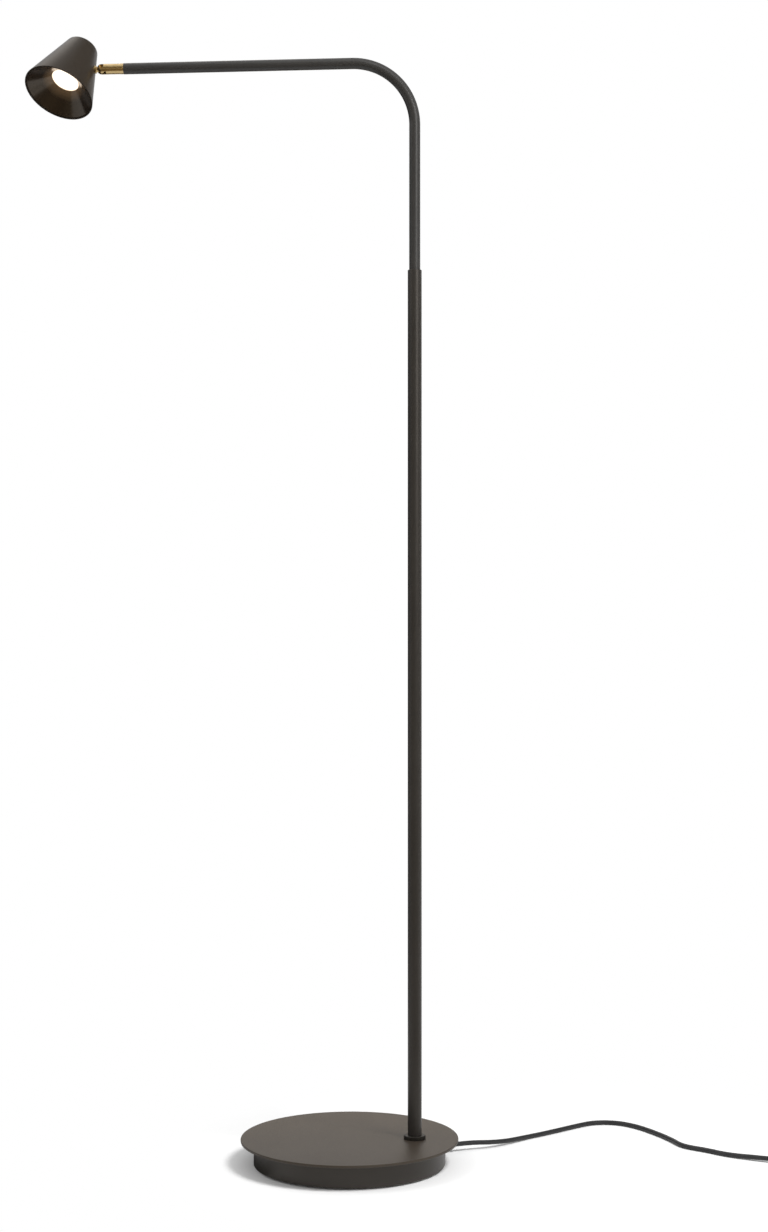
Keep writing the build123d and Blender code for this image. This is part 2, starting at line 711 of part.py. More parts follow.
# Tongue: a flat eye on the pivot, a round stem, a collar saddled to the shade and a threaded end
eye_plane = Plane(origin=stem.origin, x_dir=stem.z_dir, z_dir=stem.y_dir)
with BuildPart() as knuckle_tongue:
    with BuildSketch(eye_plane.offset(-EYE_T / 2)):
        Circle(EYE_D / 2)
        with Locations(((STEM_START + STEM_D / 2) / 2, 0)):
            Rectangle(STEM_START + STEM_D / 2, NECK_W)
        Circle(PIVOT_D / 2 + RUNNING_GAP, mode=Mode.SUBTRACT)
    extrude(amount=EYE_T)
    with BuildSketch(stem.offset(STEM_START)):
        Circle(STEM_D / 2)
    extrude(amount=STEM_REACH - STEM_START)
    with BuildSketch(stem.offset(STEM_REACH - STEM_COLLAR_T)):
        Circle(STEM_COLLAR_D / 2)
    extrude(amount=STEM_COLLAR_T + SHADE_WALL / 2)
    with BuildSketch(head_section):
        with BuildLine():
            Polyline(
                (0, 0),
                (shade_outer_r(0) + SADDLE_GAP / half_angle_cos, 0),
                (shade_outer_r(SHADE_L) + SADDLE_GAP / half_angle_cos, SHADE_L),
                (0, SHADE_L),
                close=True,
            )
        make_face()
    revolve(axis=head_axis, mode=Mode.SUBTRACT)
    with BuildSketch(stem.offset(STEM_REACH - STEM_COLLAR_T)):
        Circle(STEM_THREAD_D / 2)
    extrude(amount=STEM_COLLAR_T + SHADE_WALL + STEM_THREAD_L)
write("knuckle_tongue", knuckle_tongue)

# Shade: a spun cone with a rounded closed end
inner_edge = SHADE_EDGE - SHADE_WALL
with BuildPart() as shade:
    with BuildSketch(head_section):
        with BuildLine():
            FilletPolyline(
                (0, 0),
                (shade_outer_r(0), 0),
                (shade_outer_r(SHADE_L), SHADE_L),
                radius=SHADE_EDGE,
            )
            Line((shade_outer_r(SHADE_L), SHADE_L), (shade_inner_r(SHADE_L), SHADE_L))
            FilletPolyline(
                (shade_inner_r(SHADE_L), SHADE_L),
                (shade_inner_r(SHADE_WALL), SHADE_WALL),
                (0, SHADE_WALL),
                radius=inner_edge,
            )
            Line((0, SHADE_WALL), (0, 0))
        make_face()
    revolve(axis=head_axis)
    with BuildSketch(stem):
        Circle(STEM_THREAD_D / 2 + HOLE_GAP)
    extrude(amount=STEM_REACH + SHADE_TOP_D / 2, mode=Mode.SUBTRACT)
write("shade", shade)

# Heat sink: finned core, LED block and a boss that the stem screws into through the shade's wall
with BuildPart() as heat_sink:
    with BuildSketch(head.offset(SINK_TOP)):
        with PolarLocations(0, SINK_FIN_COUNT):
            with Locations((SHADE_MOUTH_D / 4, 0)):
                Rectangle(SHADE_MOUTH_D / 2, SINK_FIN_T)
    extrude(amount=SINK_BLOCK_TOP - SINK_TOP)
    with BuildSketch(head_section):
        with BuildLine():
            Polyline(
                (0, SINK_TOP),
                (shade_inner_r(SINK_TOP, SINK_FIN_GAP + SHADE_EDGE / 4), SINK_TOP),
                (shade_inner_r(SINK_BLOCK_TOP, SINK_FIN_GAP + SHADE_EDGE / 4), SINK_BLOCK_TOP),
                (0, SINK_BLOCK_TOP),
                close=True,
            )
        make_face()
    revolve(axis=head_axis, mode=Mode.INTERSECT)
    with BuildSketch(head.offset(SINK_TOP)):
        Circle(SINK_CORE_D / 2)
    extrude(amount=SINK_BLOCK_TOP - SINK_TOP)
    with BuildSketch(head.offset(SINK_BLOCK_TOP)):
        Circle(sink_block_d / 2)
    extrude(amount=SINK_FACE - SINK_BLOCK_TOP)
    with BuildSketch(stem.offset(STEM_REACH)):
        Circle(SINK_BOSS_D / 2)
    extrude(amount=shade_outer_r(STEM_DOWN) - SINK_CORE_D / 2)
    with BuildSketch(head_section):
        with BuildLine():
            Polyline(
                (0, SINK_TOP),
                (shade_inner_r(SINK_TOP, SADDLE_GAP), SINK_TOP),
                (shade_inner_r(SINK_FACE, SADDLE_GAP), SINK_FACE),
                (0, SINK_FACE),
                close=True,
            )
        make_face()
    revolve(axis=head_axis, mode=Mode.INTERSECT)
    with BuildSketch(stem.offset(STEM_REACH)):
        Circle(STEM_THREAD_D / 2 + THREAD_GAP)
    extrude(amount=SHADE_WALL + STEM_THREAD_L + EYE_ROOM, mode=Mode.SUBTRACT)
    with BuildSketch(head.offset(SINK_FACE)):
        with PolarLocations(BOARD_SCREW_SPAN / 2, 2, 90):
            Circle(BOARD_SCREW_D / 2 + THREAD_GAP)
    extrude(amount=-BOARD_SCREW_L, mode=Mode.SUBTRACT)
write("heat_sink", heat_sink)

# LED board, chip and board screws
board_front = SINK_FACE + BOARD_T
with BuildPart() as led_board:
    with BuildSketch(head.offset(SINK_FACE)):
        Circle(board_d / 2)
        with PolarLocations(BOARD_SCREW_SPAN / 2, 2, 90):
            Circle(BOARD_SCREW_D / 2 + HOLE_GAP, mode=Mode.SUBTRACT)
    extrude(amount=BOARD_T)
write("led_board", led_board)

with BuildPart() as led_chip:
    with BuildSketch(head.offset(board_front)):
        Circle(CHIP_D / 2)
    extrude(amount=CHIP_T)
write("led_chip", led_chip)

with BuildPart() as board_screws:
    with BuildSketch(head.offset(board_front - BOARD_T - BOARD_SCREW_L)):
        with PolarLocations(BOARD_SCREW_SPAN / 2, 2, 90):
            Circle(BOARD_SCREW_D / 2)
    extrude(amount=BOARD_T + BOARD_SCREW_L)
    with BuildSketch(head.offset(board_front)):
        with PolarLocations(BOARD_SCREW_SPAN / 2, 2, 90):
            Circle(BOARD_SCREW_HEAD_D / 2)
    extrude(amount=BOARD_SCREW_HEAD_T)
write("board_screws", board_screws)

# Lens: a collimator with a flange, a slanting side and a pocket over the chip
lens_back = board_front + CHIP_T + LENS_BACK_GAP
lens_ledge = LENS_FACE - LENS_FLANGE_T
with BuildPart() as lens:
    with BuildSketch(head_section):
        with BuildLine():
            Polyline(
                (0, LENS_FACE),
                (LENS_D / 2, LENS_FACE),
                (LENS_D / 2, lens_ledge),
                (LENS_D / 2 - LENS_LEDGE, lens_ledge),
                (LENS_BACK_D / 2, lens_back),
                (LENS_POCKET_D / 2, lens_back),
                (LENS_POCKET_D / 2, lens_back + LENS_POCKET_H),
                (0, lens_back + LENS_POCKET_H),
                close=True,
            )
        make_face()
    revolve(axis=head_axis)
write("lens", lens)

# Lens holder: a cup from the heat sink's face to the lens's flange
holder_front = LENS_FACE + LENS_GAP
holder_r = LENS_D / 2 + LENS_GAP + HOLDER_WALL
with BuildPart() as lens_holder:
    with BuildSketch(head_section):
        with BuildLine():
            Polyline(
                (sink_block_d / 2, SINK_FACE),
                (holder_r, lens_ledge - HOLDER_WALL),
                (holder_r, holder_front),
                (LENS_D / 2 + LENS_GAP, holder_front),
                (LENS_D / 2 + LENS_GAP, lens_ledge),
                (LENS_D / 2 - LENS_LEDGE + LENS_GAP, lens_ledge),
                (sink_block_d / 2 - HOLDER_WALL, board_front),
                (sink_block_d / 2 - HOLDER_WALL, SINK_FACE),
                close=True,
            )
        make_face()
    revolve(axis=head_axis)
write("lens_holder", lens_holder)

# Reflector: a dark cone from a lip over the lens's edge to a lip inside the shade's mouth
reflector_end = SHADE_L - REFLECTOR_SUNK
reflector_lip = reflector_end - REFLECTOR_LIP
lens_lip_r = LENS_D / 2 - LENS_LIP
with BuildPart() as reflector:
    with BuildSketch(head_section):
        with BuildLine():
            Polyline(
                (lens_lip_r, holder_front),
                (holder_r, holder_front),
                (shade_inner_r(reflector_lip, REFLECTOR_GAP), reflector_lip),
                (shade_inner_r(reflector_end, REFLECTOR_GAP), reflector_end),
                (shade_inner_r(reflector_end, REFLECTOR_GAP + REFLECTOR_WALL), reflector_end),
                (lens_lip_r, holder_front + REFLECTOR_WALL),
                close=True,
            )
        make_face()
    revolve(axis=head_axis)
write("reflector", reflector)

# Strain relief in the plinth's side: a flange inside, a neck through the wall and a tapered boot outside
relief_section = section_of(inlet)
relief_tip = PLINTH_D / 2 + RELIEF_L
relief_root = plinth_inner_r - RELIEF_FLANGE_T - HOLE_GAP
with BuildPart() as strain_relief:
    with BuildSketch(relief_section):
        with BuildLine():
            Polyline(
                (0, relief_root),
                (RELIEF_D / 2, relief_root),
                (RELIEF_D / 2, plinth_inner_r - HOLE_GAP),
                (RELIEF_NECK_D / 2, plinth_inner_r - HOLE_GAP),
                (RELIEF_NECK_D / 2, PLINTH_D / 2 + HOLE_GAP),
                (RELIEF_D / 2, PLINTH_D / 2 + HOLE_GAP),
                (RELIEF_TIP_D / 2, relief_tip),
                (0, relief_tip),
                close=True,
            )
        make_face()
    revolve(axis=axis_of(inlet))
write("strain_relief", strain_relief)


def bend_radii(points, share):
    """The largest even bends of a route: a share of the shorter run, over the tangent of half the turn."""
    radii = []
    for before, corner, after in zip(points, points[1:], points[2:]):
        run_in = Vector(corner) - Vector(before)
        run_out = Vector(after) - Vector(corner)
        half_turn = math.radians(run_in.get_angle(run_out)) / 2
        radii.append(share * min(run_in.length, run_out.length) / math.tan(half_turn))
    return radii


def tube_along(points, radii, diameter):
    """A round tube along straight runs and tangent bends, square to its first run."""
    with BuildPart() as tube:
        with BuildLine() as route:
            FilletPolyline(*points, radius=radii)
        start = Vector(points[0])
        with BuildSketch(Plane(origin=start, z_dir=Vector(points[1]) - start)):
            Circle(diameter / 2)
        sweep()
    length = sum(edge.length for edge in route.line.edges())
    filled = tube.part.volume / (math.pi * diameter**2 / 4 * length)
    print(f"tube {length:.0f} long, {filled:.4f} of section times length, radii", [round(r) for r in radii])
    return tube


# Mains lead inside the base, from the strain relief to the driver
driver_end_x = DRIVER_X + DRIVER_L / 2
supply_bend = exit_out * SUPPLY_BEND_R
supply_points = [
    exit_out * relief_root + Vector(0, 0, CORD_EXIT_Z),
    Vector(supply_bend.X, supply_bend.Y, CORD_EXIT_Z),
    Vector(driver_end_x + SUPPLY_RUN, SUPPLY_Y, CORD_EXIT_Z),
    Vector(driver_end_x, SUPPLY_Y, CORD_EXIT_Z),
]
supply_lead = tube_along(supply_points, bend_radii(supply_points, CORD_BEND), CORD_D)
write("supply_lead", supply_lead)

# Low voltage lead, from the driver up the pole's axis and through the friction plug
arm_lead_z = arm_z - BEND_R - LEAD_SLACK
lead_floor_z = cover_top + lead_r + LEAD_LIFT
pole_lead = tube_along(
    [(driver_end_x, 0, lead_floor_z), (pole_x, 0, lead_floor_z), (pole_x, 0, POLE_TOP_Z - LEAD_SLACK)],
    [LEAD_BEND_R],
    LEAD_D,
)
write("pole_lead", pole_lead)

arm_lead_end = pivot_x + slot_floor + LEAD_SLACK
arm_lead = tube_along(
    [(pole_x, 0, arm_lead_z), (pole_x, 0, arm_z), (arm_lead_end, 0, arm_z)],
    [BEND_R],
    LEAD_D,
)
write("arm_lead", arm_lead)

# Mains lead on the floor, from the strain relief to the foot switch
relief_end = exit_out * relief_tip
switch_near = Vector(SWITCH_X, SWITCH_Y, SWITCH_ENTRY_Z) - switch_along * (SWITCH_L / 2)
lead_points = [
    (relief_end.X, relief_end.Y, CORD_EXIT_Z),
    (136.4, 75.6, CORD_EXIT_Z),
    (158.0, 85.0, 7.2),
    (178.0, 104.0, 4.6),
    (200.0, 131.0, CORD_FLOOR_Z),
    (222.0, 151.0, CORD_FLOOR_Z),
    (258.0, 189.0, CORD_FLOOR_Z),
    (281.0, 211.0, CORD_FLOOR_Z),
    (309.0, 213.0, CORD_FLOOR_Z),
    (333.0, 197.0, CORD_FLOOR_Z),
    (356.0, 165.0, CORD_FLOOR_Z),
    (375.0, 131.0, CORD_FLOOR_Z),
    (385.0, 104.0, CORD_FLOOR_Z),
    (411.0, 89.0, CORD_FLOOR_Z),
    (436.0, 68.0, CORD_FLOOR_Z),
    switch_near - switch_along * SWITCH_LEAD_RUN,
    switch_near,
]
mains_lead = tube_along(lead_points, bend_radii(lead_points, CORD_BEND), CORD_D)
write("mains_lead", mains_lead)

# From the foot switch to the coil
coil_z = TIE_T + TIE_GAP + cord_r
coil_start_x = COIL_X + COIL_OUTER_R
switch_far = Vector(SWITCH_X, SWITCH_Y, SWITCH_ENTRY_Z) + switch_along * (SWITCH_L / 2)
tail_points = [
    switch_far,
    switch_far + switch_along * SWITCH_TAIL_RUN,
    (604.5, 13.0, 3.6),
    (618.0, 22.6, CORD_FLOOR_Z),
    (coil_start_x, 42.8, coil_z),
    (coil_start_x, COIL_Y - CORD_D, coil_z),
]
lead_tail = tube_along(tail_points, bend_radii(tail_points, CORD_BEND), CORD_D)
write("lead_tail", lead_tail)

# Foot switch: lower shell, cover, screws, button and spring
switch_split = SWITCH_BASE_H
switch_top = SWITCH_BASE_H + SWITCH_COVER_H
switch_ceiling = switch_top - SWITCH_WALL
screw_spots = [(-SWITCH_SCREW_SPAN / 2, 0), (SWITCH_SCREW_SPAN / 2, 0)]
with BuildPart() as switch_base:
    with BuildSketch(switch_place):
        RectangleRounded(SWITCH_L, SWITCH_W, SWITCH_CORNER)
    extrude(amount=SWITCH_BASE_H)
    with BuildSketch(switch_place.offset(SWITCH_WALL)):
        RectangleRounded(SWITCH_L - 2 * SWITCH_WALL, SWITCH_W - 2 * SWITCH_WALL, SWITCH_CORNER - SWITCH_WALL)
    extrude(amount=SWITCH_BASE_H, mode=Mode.SUBTRACT)
    with BuildSketch(switch_place.offset(SWITCH_WALL)):
        with Locations(*screw_spots):
            Circle(SWITCH_BOSS_D / 2)
    extrude(amount=SWITCH_BASE_H - SWITCH_WALL)
    with BuildSketch(switch_place):
        with Locations(*screw_spots):
            Circle(SWITCH_SCREW_D / 2 + HOLE_GAP)
    extrude(amount=SWITCH_BASE_H, mode=Mode.SUBTRACT)
    with BuildSketch(switch_place):
        with Locations(*screw_spots):
            Circle(SWITCH_SCREW_HEAD_D / 2 + HOLE_GAP)
    extrude(amount=SWITCH_SCREW_HEAD_T + HOLE_GAP, mode=Mode.SUBTRACT)
write("switch_base", switch_base)

with BuildPart() as switch_cover:
    with BuildSketch(switch_place.offset(switch_split)):
        RectangleRounded(SWITCH_L, SWITCH_W, SWITCH_CORNER)
    extrude(amount=SWITCH_COVER_H)
    fillet(switch_cover.faces().sort_by(Axis.Z)[-1].edges(), SWITCH_CROWN)
    with BuildSketch(switch_place.offset(switch_split)):
        RectangleRounded(SWITCH_L - 2 * SWITCH_WALL, SWITCH_W - 2 * SWITCH_WALL, SWITCH_CORNER - SWITCH_WALL)
    extrude(amount=SWITCH_COVER_H - SWITCH_CROWN, mode=Mode.SUBTRACT)
    with BuildSketch(switch_place.offset(switch_split)):
        Circle(BUTTON_FLANGE_D / 2 + BUTTON_GAP)
    extrude(amount=SWITCH_COVER_H - SWITCH_WALL, mode=Mode.SUBTRACT)
    with BuildSketch(switch_place.offset(switch_split)):
        with Locations(*screw_spots):
            Circle(SWITCH_BOSS_D / 2)
    extrude(amount=SWITCH_COVER_H - SWITCH_CROWN)
    with BuildSketch(switch_place.offset(switch_split)):
        with Locations(*screw_spots):
            Circle(SWITCH_SCREW_D / 2 + THREAD_GAP)
    extrude(amount=SWITCH_COVER_H - SWITCH_CROWN, mode=Mode.SUBTRACT)
    with BuildSketch(switch_place.offset(switch_split)):
        Circle(BUTTON_D / 2 + BUTTON_GAP)
    extrude(amount=SWITCH_COVER_H, mode=Mode.SUBTRACT)
write("switch_cover", switch_cover)

with BuildPart() as switch_screws:
    with BuildSketch(switch_place.offset(HOLE_GAP)):
        with Locations(*screw_spots):
            Circle(SWITCH_SCREW_HEAD_D / 2)
    extrude(amount=SWITCH_SCREW_HEAD_T)
    with BuildSketch(switch_place.offset(HOLE_GAP + SWITCH_SCREW_HEAD_T)):
        with Locations(*screw_spots):
            Circle(SWITCH_SCREW_D / 2)
    extrude(amount=SWITCH_SCREW_L)
write("switch_screws", switch_screws)

button_floor = switch_ceiling - BUTTON_FLANGE_T
with BuildPart() as switch_button:
    with BuildSketch(switch_place.offset(button_floor)):
        Circle(BUTTON_FLANGE_D / 2)
    extrude(amount=BUTTON_FLANGE_T)
    with BuildSketch(switch_place.offset(switch_ceiling)):
        Circle(BUTTON_D / 2)
    extrude(amount=SWITCH_WALL + BUTTON_TRAVEL)
    fillet(switch_button.faces().sort_by(Axis.Z)[-1].edges(), BUTTON_EDGE)
write("switch_button", switch_button)


def biarc(start, start_way, end, end_way):
    """Two arcs from one point to another, tangent to each other and to both given ways."""
    across = end - start
    ways = start_way + end_way
    spread = 2 * (1 - start_way.dot(end_way))
    reach = (math.sqrt(across.dot(ways) ** 2 + spread * across.dot(across)) - across.dot(ways)) / spread
    first_corner = start + start_way * reach
    second_corner = end - end_way * reach
    middle = (first_corner + second_corner) / 2
    TangentArc(start, middle, tangent=start_way)
    TangentArc(middle, end, tangent=second_corner - first_corner)


def least_self_gap(places, diameter, apart):
    """Least clear distance between stretches of one tube that lie more than a given length apart along it."""
    least = math.inf
    along = [0.0]
    for before, after in zip(places, places[1:]):
        along.append(along[-1] + (after - before).length)
    for i, here in enumerate(places):
        for j in range(i + 1, len(places)):
            if along[j] - along[i] > apart:
                least = min(least, (places[j] - here).length - diameter)
    return least


# Coil: the lead spirals in on the floor layer, climbs half a turn and spirals out on the layer above
def coil_place(turn):
    """Centre of the lead at a number of turns from the coil's start."""
    radius = COIL_OUTER_R - COIL_PITCH * (COIL_TURNS_IN - abs(turn - COIL_TURNS_IN))
    climb = min(max(2 * (turn - COIL_TURNS_IN) + 0.5, 0), 1)
    height = coil_z + COIL_PITCH * (1 - math.cos(math.pi * climb)) / 2
    angle = 2 * math.pi * turn
    return Vector(COIL_X + radius * math.cos(angle), COIL_Y + radius * math.sin(angle), height)


def coil_way(turn):
    """Direction of the lead there, level and square to the radius at the coil's two ends."""
    angle = 2 * math.pi * turn
    square = Vector(-math.sin(angle), math.cos(angle), 0)
    if turn in (0, 2 * COIL_TURNS_IN):
        return square
    step = 1e-4
    return (coil_place(turn + step) - coil_place(turn - step)).normalized()


coil_stations = [k / COIL_STEPS for k in range(2 * COIL_TURNS_IN * COIL_STEPS + 1)]
coil_end = coil_place(2 * COIL_TURNS_IN)
with BuildPart() as lead_coil:
    with BuildLine() as coil_route:
        Line(coil_place(0) - Vector(0, CORD_D, 0), coil_place(0))
        for here, there in zip(coil_stations, coil_stations[1:]):
            biarc(coil_place(here), coil_way(here), coil_place(there), coil_way(there))
        Line(coil_end, coil_end + Vector(0, CORD_D, 0))
    with BuildSketch(Plane(origin=coil_place(0) - Vector(0, CORD_D, 0), z_dir=(0, 1, 0))):
        Circle(cord_r)
    sweep()
coil_length = sum(edge.length for edge in coil_route.line.edges())
coil_places = [edge @ (k / 8) for edge in coil_route.line.edges() for k in range(8)]
print(f"coil {coil_length:.0f} long, least gap {least_self_gap(coil_places, CORD_D, 3 * CORD_D):.2f}")
write("lead_coil", lead_coil)

# Tie round the coil's turns
tie_inner = COIL_OUTER_R - COIL_PITCH * COIL_TURNS_IN
tie_span = COIL_PITCH * COIL_TURNS_IN + CORD_D
tie_rise = COIL_PITCH + CORD_D + 2 * TIE_GAP
tie_place = Plane(
    origin=(COIL_X, COIL_Y - (tie_inner + COIL_OUTER_R) / 2, TIE_T + tie_rise / 2),
    x_dir=(0, 1, 0),
    z_dir=(1, 0, 0),
)
with BuildPart() as coil_tie:
    with BuildSketch(tie_place.offset(-TIE_W / 2)):
        RectangleRounded(tie_span + 2 * TIE_GAP + 2 * TIE_T, tie_rise + 2 * TIE_T, TIE_CORNER)
        RectangleRounded(tie_span + 2 * TIE_GAP, tie_rise, TIE_CORNER - TIE_T, mode=Mode.SUBTRACT)
    extrude(amount=TIE_W)
write("coil_tie", coil_tie)

# From the coil to the plug
plug_start_y = coil_end.Y + CORD_D + 3 * PLUG_RUN
plug_points = [
    coil_end + Vector(0, CORD_D, 0),
    (coil_end.X, coil_end.Y + CORD_D + PLUG_RUN, coil_end.Z),
    (coil_end.X, plug_start_y - PLUG_RUN, PLUG_Z),
    (coil_end.X, plug_start_y, PLUG_Z),
]
plug_lead = tube_along(plug_points, bend_radii(plug_points, CORD_BEND), CORD_D)
write("plug_lead", plug_lead)

# Plug: a flat two-pin body that narrows to a tapered boot, lying on the floor
plug_base = Plane(origin=(coil_end.X, plug_start_y, PLUG_Z), x_dir=(1, 0, 0), z_dir=(0, 1, 0))
plug_face_at = PLUG_BOOT_L + PLUG_TAPER_L + PLUG_BODY_L
with BuildPart() as plug_body:
    with BuildSketch(plug_base):
        Circle(PLUG_BOOT_D / 2)
    with BuildSketch(plug_base.offset(PLUG_BOOT_L)):
        Circle(PLUG_TAIL_H / 2)
    loft(ruled=True)
    with BuildSketch(plug_base.offset(PLUG_BOOT_L)):
        RectangleRounded(PLUG_TAIL_W, PLUG_TAIL_H, PLUG_CORNER)
    with BuildSketch(plug_base.offset(PLUG_BOOT_L + PLUG_TAPER_L)):
        RectangleRounded(PLUG_WAIST_W, PLUG_BODY_H, PLUG_CORNER)
    with BuildSketch(plug_base.offset(plug_face_at)):
        RectangleRounded(PLUG_FACE_W, PLUG_BODY_H, PLUG_CORNER)
    loft(ruled=True)
    with BuildSketch(plug_base.offset(plug_face_at)):
        with GridLocations(PIN_SPACING, 0, 2, 1):
            Circle(PIN_D / 2 + PRESS_GAP)
    extrude(amount=-PIN_SUNK, mode=Mode.SUBTRACT)
write("plug_body", plug_body)

with BuildPart() as plug_pins:
    with BuildSketch(plug_base.offset(plug_face_at - PIN_SUNK)):
        with GridLocations(PIN_SPACING, 0, 2, 1):
            Circle(PIN_D / 2)
    extrude(amount=PIN_SUNK + PIN_L)
    pin_ends = plug_pins.edges().filter_by(GeomType.CIRCLE).group_by(Axis.Y)[-1]
    fillet(pin_ends, PIN_D / 4)
write("plug_pins", plug_pins)


# Button spring: an open coil between the lower shell's floor and the button
def spring_place(turn):
    """Centre of the spring's wire at a number of turns from its foot."""
    angle = 2 * math.pi * turn
    spring_r = (SPRING_D - SPRING_WIRE) / 2
    rise = button_floor - SWITCH_WALL - SPRING_WIRE
    height = SWITCH_WALL + SPRING_WIRE / 2 + rise * turn / SPRING_TURNS
    return switch_place.from_local_coords(Vector(spring_r * math.cos(angle), spring_r * math.sin(angle), height))


def spring_way(turn):
    """Direction of the spring's wire there."""
    step = 1e-4
    return (spring_place(turn + step) - spring_place(turn - step)).normalized()


spring_stations = [k / COIL_STEPS for k in range(SPRING_TURNS * COIL_STEPS + 1)]
with BuildPart() as switch_spring:
    with BuildLine() as spring_route:
        for here, there in zip(spring_stations, spring_stations[1:]):
            biarc(spring_place(here), spring_way(here), spring_place(there), spring_way(there))
    with BuildSketch(Plane(origin=spring_place(0), z_dir=spring_way(0))):
        Circle(SPRING_WIRE / 2)
    sweep()
spring_places = [edge @ (k / 8) for edge in spring_route.line.edges() for k in range(8)]
print(f"spring least gap {least_self_gap(spring_places, SPRING_WIRE, 3 * SPRING_WIRE):.2f}")
write("switch_spring", switch_spring)
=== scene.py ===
"""Looks of the floor lamp: turned and swept skins, materials, the mains lead, studio light and camera."""

import json
import math

import bpy
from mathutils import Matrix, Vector


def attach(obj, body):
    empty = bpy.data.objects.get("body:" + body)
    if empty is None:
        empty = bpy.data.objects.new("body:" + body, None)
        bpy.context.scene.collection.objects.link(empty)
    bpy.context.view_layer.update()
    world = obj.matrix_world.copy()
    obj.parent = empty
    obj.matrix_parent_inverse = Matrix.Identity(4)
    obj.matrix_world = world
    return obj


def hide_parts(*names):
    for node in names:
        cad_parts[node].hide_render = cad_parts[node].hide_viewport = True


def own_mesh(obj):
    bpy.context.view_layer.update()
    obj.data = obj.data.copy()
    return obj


MM = 0.001
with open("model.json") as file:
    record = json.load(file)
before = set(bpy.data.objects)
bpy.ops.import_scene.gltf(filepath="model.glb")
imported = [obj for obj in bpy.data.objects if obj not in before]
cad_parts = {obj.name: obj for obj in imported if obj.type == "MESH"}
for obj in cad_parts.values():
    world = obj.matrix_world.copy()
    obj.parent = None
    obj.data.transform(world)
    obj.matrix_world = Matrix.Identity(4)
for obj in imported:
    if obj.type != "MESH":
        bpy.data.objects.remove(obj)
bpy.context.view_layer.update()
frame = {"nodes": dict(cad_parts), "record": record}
nodes = frame["nodes"]
slot_of = {row["node"]: row["material_slot"] for row in frame["record"]["subparts"]}

# Base and tubes in millimetres, as in the solids that get a skin
DISC_R = 125.0
DISC_Z = (28.0, 31.0)
DISC_EDGE = 0.8
PLINTH_R = 110.0
PLINTH_INNER_R = 108.0
PLINTH_LIP_R = 102.0
PLINTH_LIP_T = 2.0
PLINTH_Z = (2.0, 28.0)
PLINTH_EDGE = 0.8
PLINTH_INNER_EDGE = 0.4
COLLAR_R = 12.5
COLLAR_Z = (31.0, 35.5)
COLLAR_EDGE = 0.8
COLLAR_GAP = 0.25
COLLAR_SEAT = 1.0
NIPPLE_R = 5.25
POLE_X = 75.0
POLE_R = 8.0
POLE_BORE_R = 7.0
POLE_Z = (34.5, 1026.0)
POLE_EDGE = 0.3
ARM_R = 6.35
ARM_BORE_R = 5.35
ARM_FOOT_Z = 906.0
ARM_Z = 1264.5
ARM_END_X = -263.0
BEND_R = 72.0

# Knuckle and head
HEAD_ROLL = math.radians(31.0)
HEAD_TILT = math.radians(-2.0)
PIVOT = Vector((-289.0, 0.0, ARM_Z))
PIVOT_HALF_L = 5.2
PIVOT_SHANK_R = 1.5
PIVOT_SHANK_EDGE = 0.2
PIVOT_HEAD_R = 2.6
PIVOT_HEAD_FOOT = 3.6
PIVOT_HEAD_EDGE = 0.3
PIVOT_SOCKET = (1.0, 1.0)
STEM_REACH = 8.1
STEM_DOWN = 31.7
SHADE_TOP_R = 18.25
SHADE_MOUTH_R = 41.75
SHADE_L = 75.5
SHADE_WALL = 1.2
SHADE_EDGE = 5.0
SHADE_RIM_EDGE = 0.5
LENS_R = 18.4
LENS_FACE = 54.0

# Strain relief, measured from the base's axis. Rings are given by count, gap and depth.
EXIT_TURN = math.radians(29.0)
EXIT_Z = 9.0
RELIEF_ROOT = 105.75
RELIEF_NECK = (107.75, 110.25)
RELIEF_TIP = 134.0
RELIEF_R = 4.5
RELIEF_NECK_R = 3.5
RELIEF_TIP_R = 3.6
RELIEF_EDGE = 0.3
RELIEF_RINGS = (6, 1.4, 0.6)
RING_EDGE = 0.25

# Foot switch. The button's corners are radius, height and easing.
SWITCH_TURN = math.radians(-19.7)
SWITCH_PLACE = (537.0, 29.0)
SWITCH_L = 78.0
SWITCH_W = 32.0
SWITCH_CORNER = 8.0
SWITCH_SPLIT_Z = 9.0
SWITCH_LEAD_Z = 4.5
SEAM_HALF_T = 0.15
SEAM_PROUD = 0.05
SEAM_DEPTH = 0.5
BOOT_ROOT = -1.5
BOOT_L = 9.0
BOOT_R = (4.1, 3.4)
BOOT_RINGS = (3, 1.2, 0.5)
BUTTON_CORNERS = [
    (0, 15.5, 0), (12.5, 15.5, 0.3), (12.5, 17.0, 0.3), (11.0, 17.0, 0), (11.0, 22.0, 1.2),
    (9.2, 22.0, 0.2), (8.8, 21.5, 0.2), (8.2, 21.5, 0.2), (7.8, 22.0, 0.2),
    (6.4, 22.0, 0.2), (6.0, 21.5, 0.2), (5.4, 21.5, 0.2), (5.0, 22.0, 0.2), (0, 21.6, 0),
]
SPRING_Z = (2.0, 15.5)
SPRING_R = 5.05
SPRING_WIRE_R = 0.45
SPRING_TURNS = 4

